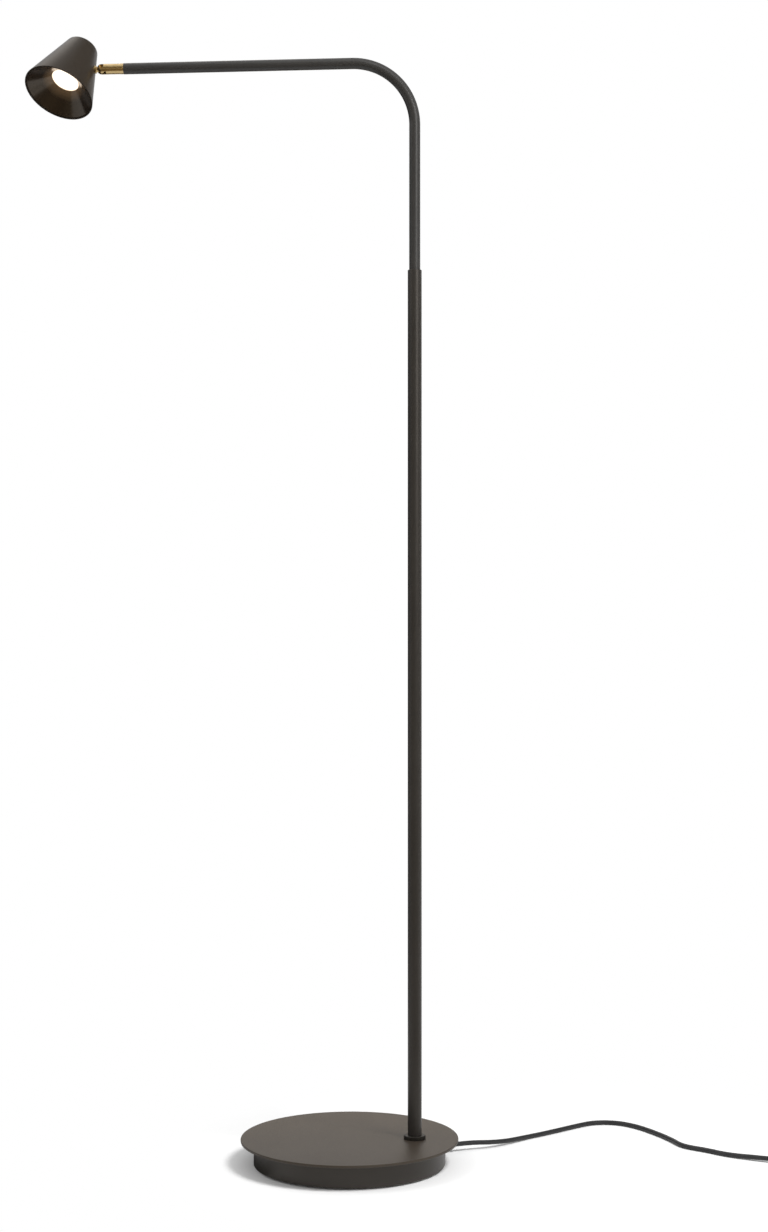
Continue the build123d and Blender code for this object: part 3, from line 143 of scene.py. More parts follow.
# Mains lead and its plug
CORD_D = 5.5
FLOOR_Z = 2.9
LEAVE_POINTS = [(136.4, 75.6, EXIT_Z), (158.0, 85.0, 7.2), (178.0, 104.0, 4.6)]
FLOOR_POINTS = [
    (200.0, 131.0), (222.0, 151.0), (258.0, 189.0), (281.0, 211.0), (309.0, 213.0), (333.0, 197.0),
    (356.0, 165.0), (375.0, 131.0), (385.0, 104.0), (411.0, 89.0), (436.0, 68.0),
]
SWITCH_RUN_IN = 28.0
SWITCH_RUN_OUT = 14.0
COIL_CENTRE = Vector((585.0, 88.3, 0))
COIL_R = 42.0
COIL_PITCH = 6.1
COIL_Z = 4.15
TURNS_IN = 3
COIL_STEPS = 20
COIL_POINTS = [(604.5, 13.0, 3.6), (618.0, 22.6, FLOOR_Z), (627.0, 42.8, COIL_Z), (627.0, 82.8, COIL_Z)]
PLUG_RUN = 18.0
PLUG_Z = 6.8
PLUG_HALF_H = 6.8
PLUG_BOOT = (1.0, 20.0)
PLUG_BOOT_R = (4.3, 5.9)
PLUG_BOOT_RINGS = (5, 2.0, 0.65)
GRIP_ROWS = (43.0, 46.0, 49.0, 52.0)
GRIP_SINK = 0.15
GRIP_HALF = (9.0, 0.8, 0.5)

# Sides and steps of the skins
BASE_SIDES = 256
SHADE_SIDES = 192
BUTTON_SIDES = 128
TUBE_SIDES = 96
SCREW_SIDES = 96
ARM_SIDES = 64
RELIEF_SIDES = 64
BOOT_SIDES = 48
BEND_STEPS = 48
EASE_STEPS = 5
SHARP = math.radians(30.0)
ON_AXIS = 1e-6

# The head's axis, from its closed end to its mouth
half_angle = math.atan((SHADE_MOUTH_R - SHADE_TOP_R) / SHADE_L)
down = Vector((0, -math.sin(HEAD_ROLL), -math.cos(HEAD_ROLL)))
out = Vector((-1, 0, 0))
wall_way = down * math.cos(HEAD_TILT) + out * math.sin(HEAD_TILT)
stem_way = out * math.cos(HEAD_TILT) - down * math.sin(HEAD_TILT)
head_axis = wall_way * math.cos(half_angle) + stem_way * math.sin(half_angle)
inward = stem_way * math.cos(half_angle) - wall_way * math.sin(half_angle)
head_top = PIVOT + stem_way * STEM_REACH - wall_way * STEM_DOWN + inward * SHADE_TOP_R


# Node helpers for the materials
def shader(name):
    """A new material and its principled shader."""
    made = bpy.data.materials.new(name)
    made.use_nodes = True
    return made, made.node_tree, made.node_tree.nodes["Principled BSDF"]


def node(tree, kind, **settings):
    """A new shader node with its settings, and its sockets where a name matches one."""
    made = tree.nodes.new(kind)
    for key, value in settings.items():
        if key in made.inputs:
            made.inputs[key].default_value = value
        else:
            setattr(made, key, value)
    return made


def noise(tree, scale, detail):
    """Noise in the object's own place, in metres."""
    place = node(tree, "ShaderNodeTexCoord").outputs["Object"]
    made = node(tree, "ShaderNodeTexNoise", Scale=scale, Detail=detail)
    tree.links.new(place, made.inputs["Vector"])
    return made.outputs["Fac"]


def ball_fade(tree, centre, size):
    """One at a centre in metres, falling to nothing at a size along each axis."""
    place = node(tree, "ShaderNodeTexCoord").outputs["Object"]
    mapping = node(tree, "ShaderNodeMapping", vector_type="TEXTURE", Location=centre, Scale=size)
    tree.links.new(place, mapping.inputs["Vector"])
    fade = node(tree, "ShaderNodeTexGradient", gradient_type="SPHERICAL")
    tree.links.new(mapping.outputs["Vector"], fade.inputs["Vector"])
    return fade.outputs["Fac"]


# Noise lies round a half, so its middle part is spread over the whole range
NOISE_LOW = 0.3
NOISE_HIGH = 0.7


def ramp(tree, source, low, high, start=NOISE_LOW, end=NOISE_HIGH):
    """A colour between two, by a factor."""
    made = node(tree, "ShaderNodeValToRGB")
    made.color_ramp.elements[0].position = start
    made.color_ramp.elements[1].position = end
    made.color_ramp.elements[0].color = (*low, 1)
    made.color_ramp.elements[1].color = (*high, 1)
    tree.links.new(source, made.inputs["Fac"])
    return made.outputs["Color"]


def spread(tree, source, low, high):
    """A number between two, by a factor."""
    made = node(tree, "ShaderNodeMapRange")
    made.inputs["From Min"].default_value = NOISE_LOW
    made.inputs["From Max"].default_value = NOISE_HIGH
    made.inputs["To Min"].default_value = low
    made.inputs["To Max"].default_value = high
    tree.links.new(source, made.inputs["Value"])
    return made.outputs["Result"]


def bump(tree, source, strength, distance):
    """A bump of a height map."""
    made = node(tree, "ShaderNodeBump", Strength=strength, Distance=distance)
    tree.links.new(source, made.inputs["Height"])
    return made.outputs["Normal"]


# Finishes. Grain and cloud are noise scales, and depth is the grain's height in metres.
SLOW_DETAIL = 4.0
FINE_DETAIL = 3.0
GRAIN_BUMP = 0.5
WARM = (1.0, 0.92, 0.85)
grained_rows = {
    "black_paint": dict(
        low=(0.026, 0.0235, 0.0205), high=(0.033, 0.030, 0.026), rough=(0.38, 0.48), level=0.34, tint=WARM,
    ),
    "cast_iron": dict(
        low=(0.07, 0.066, 0.062), high=(0.12, 0.115, 0.11), rough=(0.6, 0.8),
        grain=350.0, depth=0.0004, metallic=0.6,
    ),
    "zinc_steel": dict(
        low=(0.50, 0.50, 0.47), high=(0.62, 0.62, 0.60), rough=(0.28, 0.42),
        grain=1200.0, cloud=60.0, metallic=1.0,
    ),
    "pad_rubber": dict(
        low=(0.016, 0.016, 0.016), high=(0.028, 0.027, 0.026), rough=(0.7, 0.9), grain=900.0, depth=0.0002,
    ),
    "driver_plastic": dict(
        low=(0.60, 0.60, 0.57), high=(0.68, 0.68, 0.65), rough=(0.4, 0.5), grain=1400.0,
    ),
    "nylon": dict(
        low=(0.022, 0.022, 0.022), high=(0.032, 0.031, 0.030), rough=(0.35, 0.48), grain=1400.0,
    ),
    "ring_rubber": dict(
        low=(0.012, 0.012, 0.012), high=(0.02, 0.02, 0.02), rough=(0.5, 0.65),
    ),
    "heat_sink_alloy": dict(
        low=(0.20, 0.20, 0.20), high=(0.27, 0.27, 0.27), rough=(0.35, 0.5),
        grain=1300.0, cloud=40.0, metallic=1.0,
    ),
    "board_white": dict(
        low=(0.74, 0.74, 0.70), high=(0.82, 0.82, 0.78), rough=(0.35, 0.45), depth=0.00002, cloud=300.0,
    ),
    "led_phosphor": dict(
        low=(0.85, 0.66, 0.22), high=(0.95, 0.78, 0.33), rough=(0.5, 0.7),
        grain=2000.0, depth=0.00005, cloud=900.0,
    ),
    "black_plastic": dict(
        low=(0.020, 0.020, 0.021), high=(0.030, 0.030, 0.031), rough=(0.42, 0.58),
        grain=1800.0, depth=0.00006,
    ),
    "button_plastic": dict(
        low=(0.030, 0.030, 0.031), high=(0.042, 0.042, 0.043), rough=(0.32, 0.45),
        grain=1800.0, depth=0.00004,
    ),
    "cord_sheath": dict(
        low=(0.016, 0.016, 0.017), high=(0.022, 0.022, 0.023), rough=(0.40, 0.52),
        grain=700.0, depth=0.00004, cloud=30.0, level=0.35,
    ),
    "lead_sheath": dict(
        low=(0.03, 0.03, 0.03), high=(0.04, 0.04, 0.04), rough=(0.4, 0.5), grain=700.0, depth=0.00004,
    ),
    "plug_pin_metal": dict(
        low=(0.60, 0.57, 0.50), high=(0.70, 0.67, 0.60), rough=(0.18, 0.28),
        depth=0.00002, cloud=80.0, metallic=1.0,
    ),
    # Copies of black_paint for the skins, lighter, darker or warmer piece by piece for how light falls on
    # each: painted light on the disc and arm, painted shade on the lampshade and pole. deep_black is a
    # darker black for the collar
    "disc_paint_painted_light": dict(
        low=(0.033, 0.026, 0.019), high=(0.041, 0.0325, 0.0245), rough=(0.38, 0.48), level=0.28, tint=WARM,
    ),
    "lampshade_paint_painted_shade": dict(
        low=(0.017, 0.013, 0.0095), high=(0.023, 0.0178, 0.013), rough=(0.30, 0.38),
        depth=0.00002, level=0.17, tint=WARM,
    ),
    "pole_paint_painted_shade": dict(
        low=(0.0195, 0.0178, 0.0160), high=(0.0250, 0.0228, 0.0204), rough=(0.32, 0.40),
        level=0.34, tint=WARM,
    ),
    "arm_paint_painted_light": dict(
        low=(0.0262, 0.0250, 0.0240), high=(0.0315, 0.0302, 0.0288), rough=(0.30, 0.38), level=0.34,
    ),
    "deep_black": dict(
        low=(0.009, 0.008, 0.007), high=(0.013, 0.012, 0.010), rough=(0.40, 0.50), level=0.3, tint=WARM,
    ),
}


def grained(
    name, low, high, rough, grain=1500.0, depth=0.00003, cloud=12.0,
    metallic=0.0, level=0.5, tint=(1, 1, 1),
):
    """A finish with slow colour variation, uneven roughness and a fine grain."""
    made, tree, surface = shader(name)
    slow = noise(tree, cloud, SLOW_DETAIL)
    fine = noise(tree, grain, FINE_DETAIL)
    tree.links.new(ramp(tree, slow, low, high), surface.inputs["Base Color"])
    tree.links.new(spread(tree, fine, *rough), surface.inputs["Roughness"])
    tree.links.new(bump(tree, fine, GRAIN_BUMP, depth), surface.inputs["Normal"])
    surface.inputs["Metallic"].default_value = metallic
    surface.inputs["Specular IOR Level"].default_value = level
    surface.inputs["Specular Tint"].default_value = (*tint, 1)
    return made


BRASS_TONES = ((0.475, 0.352, 0.168), (0.546, 0.412, 0.214))
BRASS_ROUGH = (0.21, 0.28)
BRASS_CLOUD = 160.0
MARK_SCALE = 1100.0
MARK_WANDER = 1.5
MARK_BUMP = 0.06
MARK_DEPTH = 0.000004


def brass_finish():
    """Satin brass with fine turned marks and slightly uneven tone."""
    made, tree, surface = shader("brass")
    slow = noise(tree, BRASS_CLOUD, SLOW_DETAIL)
    place = node(tree, "ShaderNodeTexCoord").outputs["Object"]
    marks = node(
        tree, "ShaderNodeTexWave", wave_type="BANDS", bands_direction="X",
        Scale=MARK_SCALE, Distortion=MARK_WANDER,
    )
    tree.links.new(place, marks.inputs["Vector"])
    tree.links.new(ramp(tree, slow, *BRASS_TONES), surface.inputs["Base Color"])
    tree.links.new(spread(tree, slow, *BRASS_ROUGH), surface.inputs["Roughness"])
    tree.links.new(bump(tree, marks.outputs["Fac"], MARK_BUMP, MARK_DEPTH), surface.inputs["Normal"])
    surface.inputs["Metallic"].default_value = 1.0
    return made


def lens_fade(tree, reach):
    """One at the middle of the lens's face, falling to nothing at a reach in millimetres."""
    return ball_fade(tree, (head_top + head_axis * LENS_FACE) * MM, [reach * MM] * 3)


# Reflector base colours: its own dark, and a warm painted glow of the lens's light near the lens
REFLECTOR_DARK_AND_PAINTED_GLOW = ((0.0150, 0.0100, 0.0064), (0.105, 0.066, 0.035))
REFLECTOR_PAINTED_GLOW_FADE = (0.21, 0.46)
REFLECTOR_PAINTED_GLOW_REACH = LENS_R + 16.0
REFLECTOR_ROUGH = (0.17, 0.23)
REFLECTOR_GRAIN = 700.0
REFLECTOR_DEPTH = 0.00001
REFLECTOR_LEVEL = 0.52
REFLECTOR_TINT = (1.0, 0.86, 0.70, 1)


def reflector_finish():
    """Dark satin reflector, with the lens's light painted on as a lighter, warmer glow round the lens."""
    made, tree, surface = shader("reflector_black")
    fine = noise(tree, REFLECTOR_GRAIN, FINE_DETAIL)
    painted_glow_fade = lens_fade(tree, REFLECTOR_PAINTED_GLOW_REACH)
    # Base colour with a painted glow: lighter and warmer towards the lens
    tone = ramp(tree, painted_glow_fade, *REFLECTOR_DARK_AND_PAINTED_GLOW, *REFLECTOR_PAINTED_GLOW_FADE)
    tree.links.new(tone, surface.inputs["Base Color"])
    tree.links.new(spread(tree, fine, *REFLECTOR_ROUGH), surface.inputs["Roughness"])
    tree.links.new(bump(tree, fine, GRAIN_BUMP, REFLECTOR_DEPTH), surface.inputs["Normal"])
    surface.inputs["Specular IOR Level"].default_value = REFLECTOR_LEVEL
    surface.inputs["Specular Tint"].default_value = REFLECTOR_TINT
    return made


GLOW_TONES = ((1.0, 0.70, 0.42), (1.0, 0.84, 0.68))
GLOW_FADE = (0.22, 0.42)
GLOW_REACH = LENS_R * 1.35
GLOW_STRENGTH = 1.5
LENS_TONE = (0.30, 0.28, 0.24, 1)
LENS_ROUGH = 0.3
FROST_SCALE = 900.0
FROST_BUMP = 0.3
FROST_DEPTH = 0.0002


def lens_finish():
    """Lit lens: a frosted face, white in the middle and warmer to its edge."""
    made, tree, surface = shader("lens_clear")
    place = node(tree, "ShaderNodeTexCoord").outputs["Object"]
    glow = ramp(tree, lens_fade(tree, GLOW_REACH), *GLOW_TONES, *GLOW_FADE)
    cells = node(tree, "ShaderNodeTexVoronoi", Scale=FROST_SCALE)
    tree.links.new(place, cells.inputs["Vector"])
    tree.links.new(glow, surface.inputs["Emission Color"])
    tree.links.new(bump(tree, cells.outputs["Distance"], FROST_BUMP, FROST_DEPTH), surface.inputs["Normal"])
    surface.inputs["Base Color"].default_value = LENS_TONE
    surface.inputs["Emission Strength"].default_value = GLOW_STRENGTH
    surface.inputs["Roughness"].default_value = LENS_ROUGH
    return made


finishes = {name: grained(name, **row) for name, row in grained_rows.items()}
finishes["brass"] = brass_finish()
finishes["reflector_black"] = reflector_finish()
finishes["lens_clear"] = lens_finish()
for name, obj in nodes.items():
    obj.data.materials.clear()
    obj.data.materials.append(finishes[slot_of[name]])


# Skins: turned and swept pieces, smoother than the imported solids, that stand for them
def stand(name, data):
    """A new object in the scene."""
    made = bpy.data.objects.new(name, data)
    bpy.context.scene.collection.objects.link(made)
    return made


def skin(name, points, faces, body, replaced, finish=None, slot=None):
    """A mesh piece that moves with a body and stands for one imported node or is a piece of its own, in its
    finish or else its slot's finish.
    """
    slot = slot or slot_of[replaced]
    mesh = bpy.data.meshes.new(name)
    mesh.from_pydata([Vector(p) * MM for p in points], [], faces)
    mesh.validate()
    mesh.shade_smooth()
    mesh.set_sharp_from_angle(angle=SHARP)
    made = stand(name, mesh)
    mesh.materials.append(finishes[finish or slot])
    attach(made, body)
    if replaced:
        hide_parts(replaced)
    return made


def eased(corners):
    """A closed profile whose corners (radius, height, easing) are rounded where an easing is given."""
    points = []
    count = len(corners)
    for i, (r, h, ease) in enumerate(corners):
        here = Vector((r, h))
        if not ease:
            points.append(here)
            continue
        back = (Vector(corners[i - 1][:2]) - here).normalized()
        ahead = (Vector(corners[(i + 1) % count][:2]) - here).normalized()
        half = back.angle(ahead) / 2
        middle = here + (back + ahead).normalized() * (ease / math.sin(half))
        first = here + back * (ease / math.tan(half)) - middle
        last = here + ahead * (ease / math.tan(half)) - middle
        for k in range(EASE_STEPS + 1):
            swing = first.lerp(last, k / EASE_STEPS).normalized() * ease
            points.append(middle + swing)
    return points


def edge_distance(radius, turn, six_sided):
    """Distance from the axis at a turn, on a circle or on a hexagon of that half width."""
    if six_sided:
        return radius / math.cos((turn + math.pi / 6) % (math.pi / 3) - math.pi / 6)
    return radius


def band(lower, upper):
    """Faces between two closed rings of points, without edges of no length."""
    faces = []
    count = len(lower)
    for k in range(count):
        n = (k + 1) % count
        corner = [lower[k], lower[n], upper[n], upper[k]]
        kept = [c for i, c in enumerate(corner) if c != corner[i - 1]]
        if len(kept) > 2:
            faces.append(kept)
    return faces


def closed_bands(rings):
    """Faces between each ring and the next, and between the last and the first."""
    return [face for lower, upper in zip(rings, rings[1:] + rings[:1]) for face in band(lower, upper)]


def turned(name, corners, origin, axis, body, replaced, segments, finish=None, slot=None, socket=None):
    """A half profile turned round an axis, with a hexagon socket (half width, depth) in its end if given."""
    axis = Vector(axis).normalized()
    side = axis.orthogonal().normalized()
    across = axis.cross(side)
    profile = [(r, h, False) for r, h in eased(corners)]
    if socket:
        end = profile[-1][1]
        floor = end - socket[1]
        profile += [(socket[0], end, True), (socket[0], floor, True), (0, floor, False)]
    points, rings = [], []
    for r, h, six_sided in profile:
        if r < ON_AXIS:
            rings.append([len(points)] * segments)
            points.append(origin + axis * h)
            continue
        rings.append(list(range(len(points), len(points) + segments)))
        for k in range(segments):
            turn = 2 * math.pi * k / segments
            far = edge_distance(r, turn, six_sided)
            points.append(origin + axis * h + (side * math.cos(turn) + across * math.sin(turn)) * far)
    return skin(name, points, closed_bands(rings), body, replaced, finish, slot)


UP = (0, 0, 1)
base_foot = Vector((0, 0, 0))
pole_foot = Vector((POLE_X, 0, 0))
# The disc, pole, lampshade and arm skins take copies of black_paint that carry painted light and shade
turned(
    "disc_skin",
    [(0, DISC_Z[0], 0), (DISC_R, DISC_Z[0], DISC_EDGE), (DISC_R, DISC_Z[1], DISC_EDGE), (0, DISC_Z[1], 0)],
    base_foot, UP, "base", "base_disc", BASE_SIDES, "disc_paint_painted_light",
)
lip_z = PLINTH_Z[1] - PLINTH_LIP_T
turned(
    "plinth_skin",
    [
        (PLINTH_R, PLINTH_Z[0], PLINTH_EDGE), (PLINTH_R, PLINTH_Z[1], 0), (PLINTH_LIP_R, PLINTH_Z[1], 0),
        (PLINTH_LIP_R, lip_z, 0), (PLINTH_INNER_R, lip_z, 0),
        (PLINTH_INNER_R, PLINTH_Z[0], PLINTH_INNER_EDGE),
    ],
    base_foot, UP, "base", "plinth_skirt", BASE_SIDES,
)
seat_r = POLE_R + COLLAR_GAP
seat_z = COLLAR_Z[1] - COLLAR_SEAT
turned(
    "collar_skin",
    [
        (NIPPLE_R, COLLAR_Z[0], 0), (COLLAR_R, COLLAR_Z[0], 0), (COLLAR_R, COLLAR_Z[1], COLLAR_EDGE),
        (seat_r, COLLAR_Z[1], 0), (seat_r, seat_z, 0), (NIPPLE_R, seat_z, 0),
    ],
    pole_foot, UP, "base", "foot_collar", TUBE_SIDES, "deep_black",
)
turned(
    "pole_skin",
    [
        (POLE_BORE_R, POLE_Z[0], 0), (POLE_R, POLE_Z[0], 0),
        (POLE_R, POLE_Z[1], POLE_EDGE), (POLE_BORE_R, POLE_Z[1], POLE_EDGE),
    ],
    pole_foot, UP, "base", "pole_tube", TUBE_SIDES, "pole_paint_painted_shade",
)


def shade_r(depth, inset=0.0):
    """Radius of the shade's cone at a depth from its closed end, a distance inside its outer face."""
    return SHADE_TOP_R + depth * math.tan(half_angle) - inset / math.cos(half_angle)


turned(
    "shade_skin",
    [
        (0, 0, 0), (shade_r(0), 0, SHADE_EDGE), (shade_r(SHADE_L), SHADE_L, SHADE_RIM_EDGE),
        (shade_r(SHADE_L, SHADE_WALL), SHADE_L, SHADE_RIM_EDGE),
        (shade_r(SHADE_WALL, SHADE_WALL), SHADE_WALL, SHADE_EDGE - SHADE_WALL), (0, SHADE_WALL, 0),
    ],
    head_top, head_axis, "head", "shade", SHADE_SIDES, "lampshade_paint_painted_shade",
)


def arm_stations():
    """Places and ways along the arm tube's centre line."""
    rows = [(Vector((POLE_X, 0, ARM_FOOT_Z)), Vector((0, 0, 1)))]
    centre = Vector((POLE_X - BEND_R, 0, ARM_Z - BEND_R))
    for k in range(BEND_STEPS + 1):
        turn = math.pi / 2 * k / BEND_STEPS
        place = centre + Vector((math.cos(turn), 0, math.sin(turn))) * BEND_R
        rows.append((place, Vector((-math.sin(turn), 0, math.cos(turn)))))
    rows.append((Vector((ARM_END_X, 0, ARM_Z)), Vector((-1, 0, 0))))
    return rows


def arm_skin(segments):
    """The bent arm tube with its bore."""
    points, rings = [], []
    stations = arm_stations()
    aside = Vector((0, 1, 0))
    for radius, rows in ((ARM_R, stations), (ARM_BORE_R, stations[::-1])):
        for place, way in rows:
            rings.append(range(len(points), len(points) + segments))
            across = way.cross(aside)
            for k in range(segments):
                turn = 2 * math.pi * k / segments
                points.append(place + (aside * math.cos(turn) + across * math.sin(turn)) * radius)
    return skin("arm_skin", points, closed_bands(rings), "arm", "arm_tube", "arm_paint_painted_light")


arm_skin(ARM_SIDES)

# Pivot screw of the knuckle, with a hexagon socket in its sunk head
pivot_way = Vector((0, -math.cos(HEAD_ROLL), math.sin(HEAD_ROLL)))
turned(
    "pivot_skin",
    [
        (0, -PIVOT_HALF_L, 0), (PIVOT_SHANK_R, -PIVOT_HALF_L, PIVOT_SHANK_EDGE),
        (PIVOT_SHANK_R, PIVOT_HEAD_FOOT, 0), (PIVOT_HEAD_R, PIVOT_HEAD_FOOT, 0),
        (PIVOT_HEAD_R, PIVOT_HALF_L, PIVOT_HEAD_EDGE),
    ],
    PIVOT, pivot_way, "knuckle", "pivot_screw", SCREW_SIDES, socket=PIVOT_SOCKET,
)


# Mains lead: one smooth line from the strain relief, through the foot switch and the coil, to the plug
def coil_place(turn):
    """Centre of the lead at a number of turns from the coil's start."""
    radius = COIL_R - COIL_PITCH * (TURNS_IN - abs(turn - TURNS_IN))
    climb = min(max(2 * (turn - TURNS_IN) + 0.5, 0), 1)
    height = COIL_Z + COIL_PITCH * (1 - math.cos(math.pi * climb)) / 2
    angle = 2 * math.pi * turn
    return COIL_CENTRE + Vector((radius * math.cos(angle), radius * math.sin(angle), height))


exit_way = Vector((math.cos(EXIT_TURN), math.sin(EXIT_TURN), 0))
relief_tip = Vector((RELIEF_TIP * math.cos(EXIT_TURN), RELIEF_TIP * math.sin(EXIT_TURN), EXIT_Z))
switch_way = Vector((math.cos(SWITCH_TURN), math.sin(SWITCH_TURN), 0))
switch_middle = Vector((*SWITCH_PLACE, 0))
switch_lead = Vector((*SWITCH_PLACE, SWITCH_LEAD_Z))
switch_near = switch_lead - switch_way * (SWITCH_L / 2)
switch_far = switch_lead + switch_way * (SWITCH_L / 2)
coil_end = coil_place(2 * TURNS_IN)
plug_y = coil_end.y + CORD_D
route = [relief_tip] + [Vector(place) for place in LEAVE_POINTS]
route += [Vector((x, y, FLOOR_Z)) for x, y in FLOOR_POINTS]
route += [switch_near - switch_way * SWITCH_RUN_IN, switch_near]
route += [switch_far, switch_far + switch_way * SWITCH_RUN_OUT]
route += [Vector(place) for place in COIL_POINTS]
route += [coil_place(k / COIL_STEPS) for k in range(2 * TURNS_IN * COIL_STEPS + 1)]
route += [
    coil_end + Vector((0, CORD_D, 0)),
    coil_end + Vector((0, CORD_D + PLUG_RUN, 0)),
    Vector((coil_end.x, plug_y + 2 * PLUG_RUN, PLUG_Z)),
    Vector((coil_end.x, plug_y + 3 * PLUG_RUN, PLUG_Z)),
]


def lead_piece():
    """The mains lead as a curve through its route."""
    curve = bpy.data.curves.new("mains_cord", "CURVE")
    curve.dimensions = "3D"
    spline = curve.splines.new("NURBS")
    spline.points.add(len(route) - 1)
    for point, place in zip(spline.points, route):
        point.co = (*(place * MM), 1)
    spline.order_u = 3
    spline.use_endpoint_u = True
    spline.resolution_u = 6
    curve.bevel_depth = CORD_D / 2 * MM
    curve.bevel_resolution = 6
    curve.use_fill_caps = True
    made = stand("mains_cord", curve)
    curve.materials.append(finishes["cord_sheath"])
    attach(made, "base")
    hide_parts("mains_lead", "lead_tail", "lead_coil", "plug_lead")
    return made


def ribs(start, end, start_r, end_r, count, gap, depth):
    """Corners of a tapered boot with raised rings between two heights."""
    ring = (end - start - gap * (count - 1)) / count
    corners = []
    for k in range(count):
        foot = start + k * (ring + gap)
        for h, cut in ((foot, depth), (foot, 0), (foot + ring, 0), (foot + ring, depth)):
            r = start_r + (end_r - start_r) * (h - start) / (end - start) - cut
            corners.append((r, h, 0 if cut else RING_EDGE))
    return corners


# Ribbed strain relief in the plinth's wall
relief_root = [
    (0, RELIEF_ROOT, 0), (RELIEF_R, RELIEF_ROOT, RELIEF_EDGE), (RELIEF_R, RELIEF_NECK[0], 0),
    (RELIEF_NECK_R, RELIEF_NECK[0], 0), (RELIEF_NECK_R, RELIEF_NECK[1], 0),
]
relief_rings = ribs(RELIEF_NECK[1], RELIEF_TIP, RELIEF_R, RELIEF_TIP_R, *RELIEF_RINGS)
turned(
    "relief_skin",
    relief_root + relief_rings + [(0, RELIEF_TIP, 0)],
    Vector((0, 0, EXIT_Z)), exit_way, "base", "strain_relief", RELIEF_SIDES,
)

# Boots of the lead at both ends of the foot switch, and the button with two grip rings in its top
boot_corners = [(0, BOOT_ROOT, 0), (BOOT_R[0], BOOT_ROOT, 0)]
boot_corners += ribs(0.0, BOOT_L, *BOOT_R, *BOOT_RINGS) + [(0, BOOT_L, 0)]
for name, place, way in (("boot_near", switch_near, -switch_way), ("boot_far", switch_far, switch_way)):
    turned(name, boot_corners, place, way, "base", None, BOOT_SIDES, slot="black_plastic")
button = turned(
    "button_skin", BUTTON_CORNERS, switch_middle, UP, "foot_button", "switch_button", BUTTON_SIDES,
)


def parting_line(name):
    """Thin dark line round the foot switch where its two shells meet."""
    across = Vector((-switch_way.y, switch_way.x, 0))
    low, high = SWITCH_SPLIT_Z - SEAM_HALF_T, SWITCH_SPLIT_Z + SEAM_HALF_T
    points, rings = [], []
    steps = 8
    for proud, z in ((SEAM_PROUD, low), (SEAM_PROUD, high), (-SEAM_DEPTH, high), (-SEAM_DEPTH, low)):
        first = len(points)
        for quarter, (sx, sy) in enumerate(((1, 1), (-1, 1), (-1, -1), (1, -1))):
            for k in range(steps + 1):
                turn = math.pi / 2 * (quarter + k / steps)
                x = sx * (SWITCH_L / 2 - SWITCH_CORNER) + (SWITCH_CORNER + proud) * math.cos(turn)
                y = sy * (SWITCH_W / 2 - SWITCH_CORNER) + (SWITCH_CORNER + proud) * math.sin(turn)
                points.append(switch_middle + switch_way * x + across * y + Vector((0, 0, z)))
        rings.append(range(first, len(points)))
    return skin(name, points, closed_bands(rings), "base", None, "ring_rubber", "black_plastic")


seam = parting_line("switch_seam")


def spring_piece(foot, top, radius, wire_r, turns):
    """The button's coil spring, between the lower shell's floor and the button."""
    points, rings, faces = [], [], []
    steps, sides = 28, 10
    for k in range(turns * steps + 1):
        turn = 2 * math.pi * k / steps
        way = Vector((math.cos(turn + SWITCH_TURN), math.sin(turn + SWITCH_TURN), 0))
        height = foot + wire_r + (top - foot - 2 * wire_r) * k / (turns * steps)
        rings.append(range(len(points), len(points) + sides))
        for j in range(sides):
            lean = 2 * math.pi * j / sides
            rise = Vector((0, 0, height + wire_r * math.sin(lean)))
            offset = way * (radius + wire_r * math.cos(lean)) + rise
            points.append(switch_middle + offset)
    for lower, upper in zip(rings, rings[1:]):
        for j in range(sides):
            n = (j + 1) % sides
            faces.append([lower[j], upper[j], upper[n], lower[n]])
    faces.append(list(rings[0]))
    faces.append(list(reversed(rings[-1])))
    return skin("spring_skin", points, faces, "base", "switch_spring")


spring = spring_piece(*SPRING_Z, SPRING_R, SPRING_WIRE_R, SPRING_TURNS)
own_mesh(spring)

# Rings on the plug's boot, and grip bars on the upper flat of its body
plug_start = route[-1]
plug_rings = turned(
    "plug_rings",
    [(0, PLUG_BOOT[0], 0)] + ribs(*PLUG_BOOT, *PLUG_BOOT_R, *PLUG_BOOT_RINGS) + [(0, PLUG_BOOT[1], 0)],
    plug_start, (0, 1, 0), "base", None, BOOT_SIDES, slot=slot_of["plug_body"],
)


def grip_bars(name, bars, half_length, half_width, half_height):
    """Round-ended bars that lie across the plug, each given by its middle."""
    points, faces = [], []
    rows, columns = 9, 24
    for middle in bars:
        first = len(points)
        for i in range(rows):
            lean = math.pi * (i + 0.5) / rows - math.pi / 2
            for k in range(columns):
                turn = 2 * math.pi * (k + 0.5) / columns
                x = half_width * math.cos(lean) * math.cos(turn)
                x += math.copysign(half_length - half_width, x)
                y = half_width * math.cos(lean) * math.sin(turn)
                points.append(middle + Vector((x, y, half_height * math.sin(lean))))
        rings = [range(first + i * columns, first + (i + 1) * columns) for i in range(rows)]
        for lower, upper in zip(rings, rings[1:]):
            faces += band(lower, upper)
        faces.append(list(reversed(rings[0])))
        faces.append(list(rings[-1]))
    return skin(name, points, faces, "base", None, slot=slot_of["plug_body"])


plug_grip = grip_bars(
    "plug_grip",
    [plug_start + Vector((0, y, PLUG_HALF_H - GRIP_SINK)) for y in GRIP_ROWS],
    *GRIP_HALF,
)

lead_piece()

# Studio, in metres: a white floor that fades into a white world, a key and a fill light, three boxes
# that show only as highlights, and matt cards that show only in reflections
FLOOR_HALF = 40.0
FLOOR_TONE = (0.95, 0.95, 0.95, 1)
SHADOW_CENTRE = (0.22, 0.05, 0)
SHADOW_SIZE = (0.46, 0.40, 1)
SHADOW_FADE = 0.3
WORLD_LIGHT = 0.46


def either(tree, first, second):
    """The larger of two factors: one where a ray is of either kind."""
    made = node(tree, "ShaderNodeMath", operation="MAXIMUM")
    tree.links.new(first, made.inputs[0])
    tree.links.new(second, made.inputs[1])
    return made.outputs["Value"]


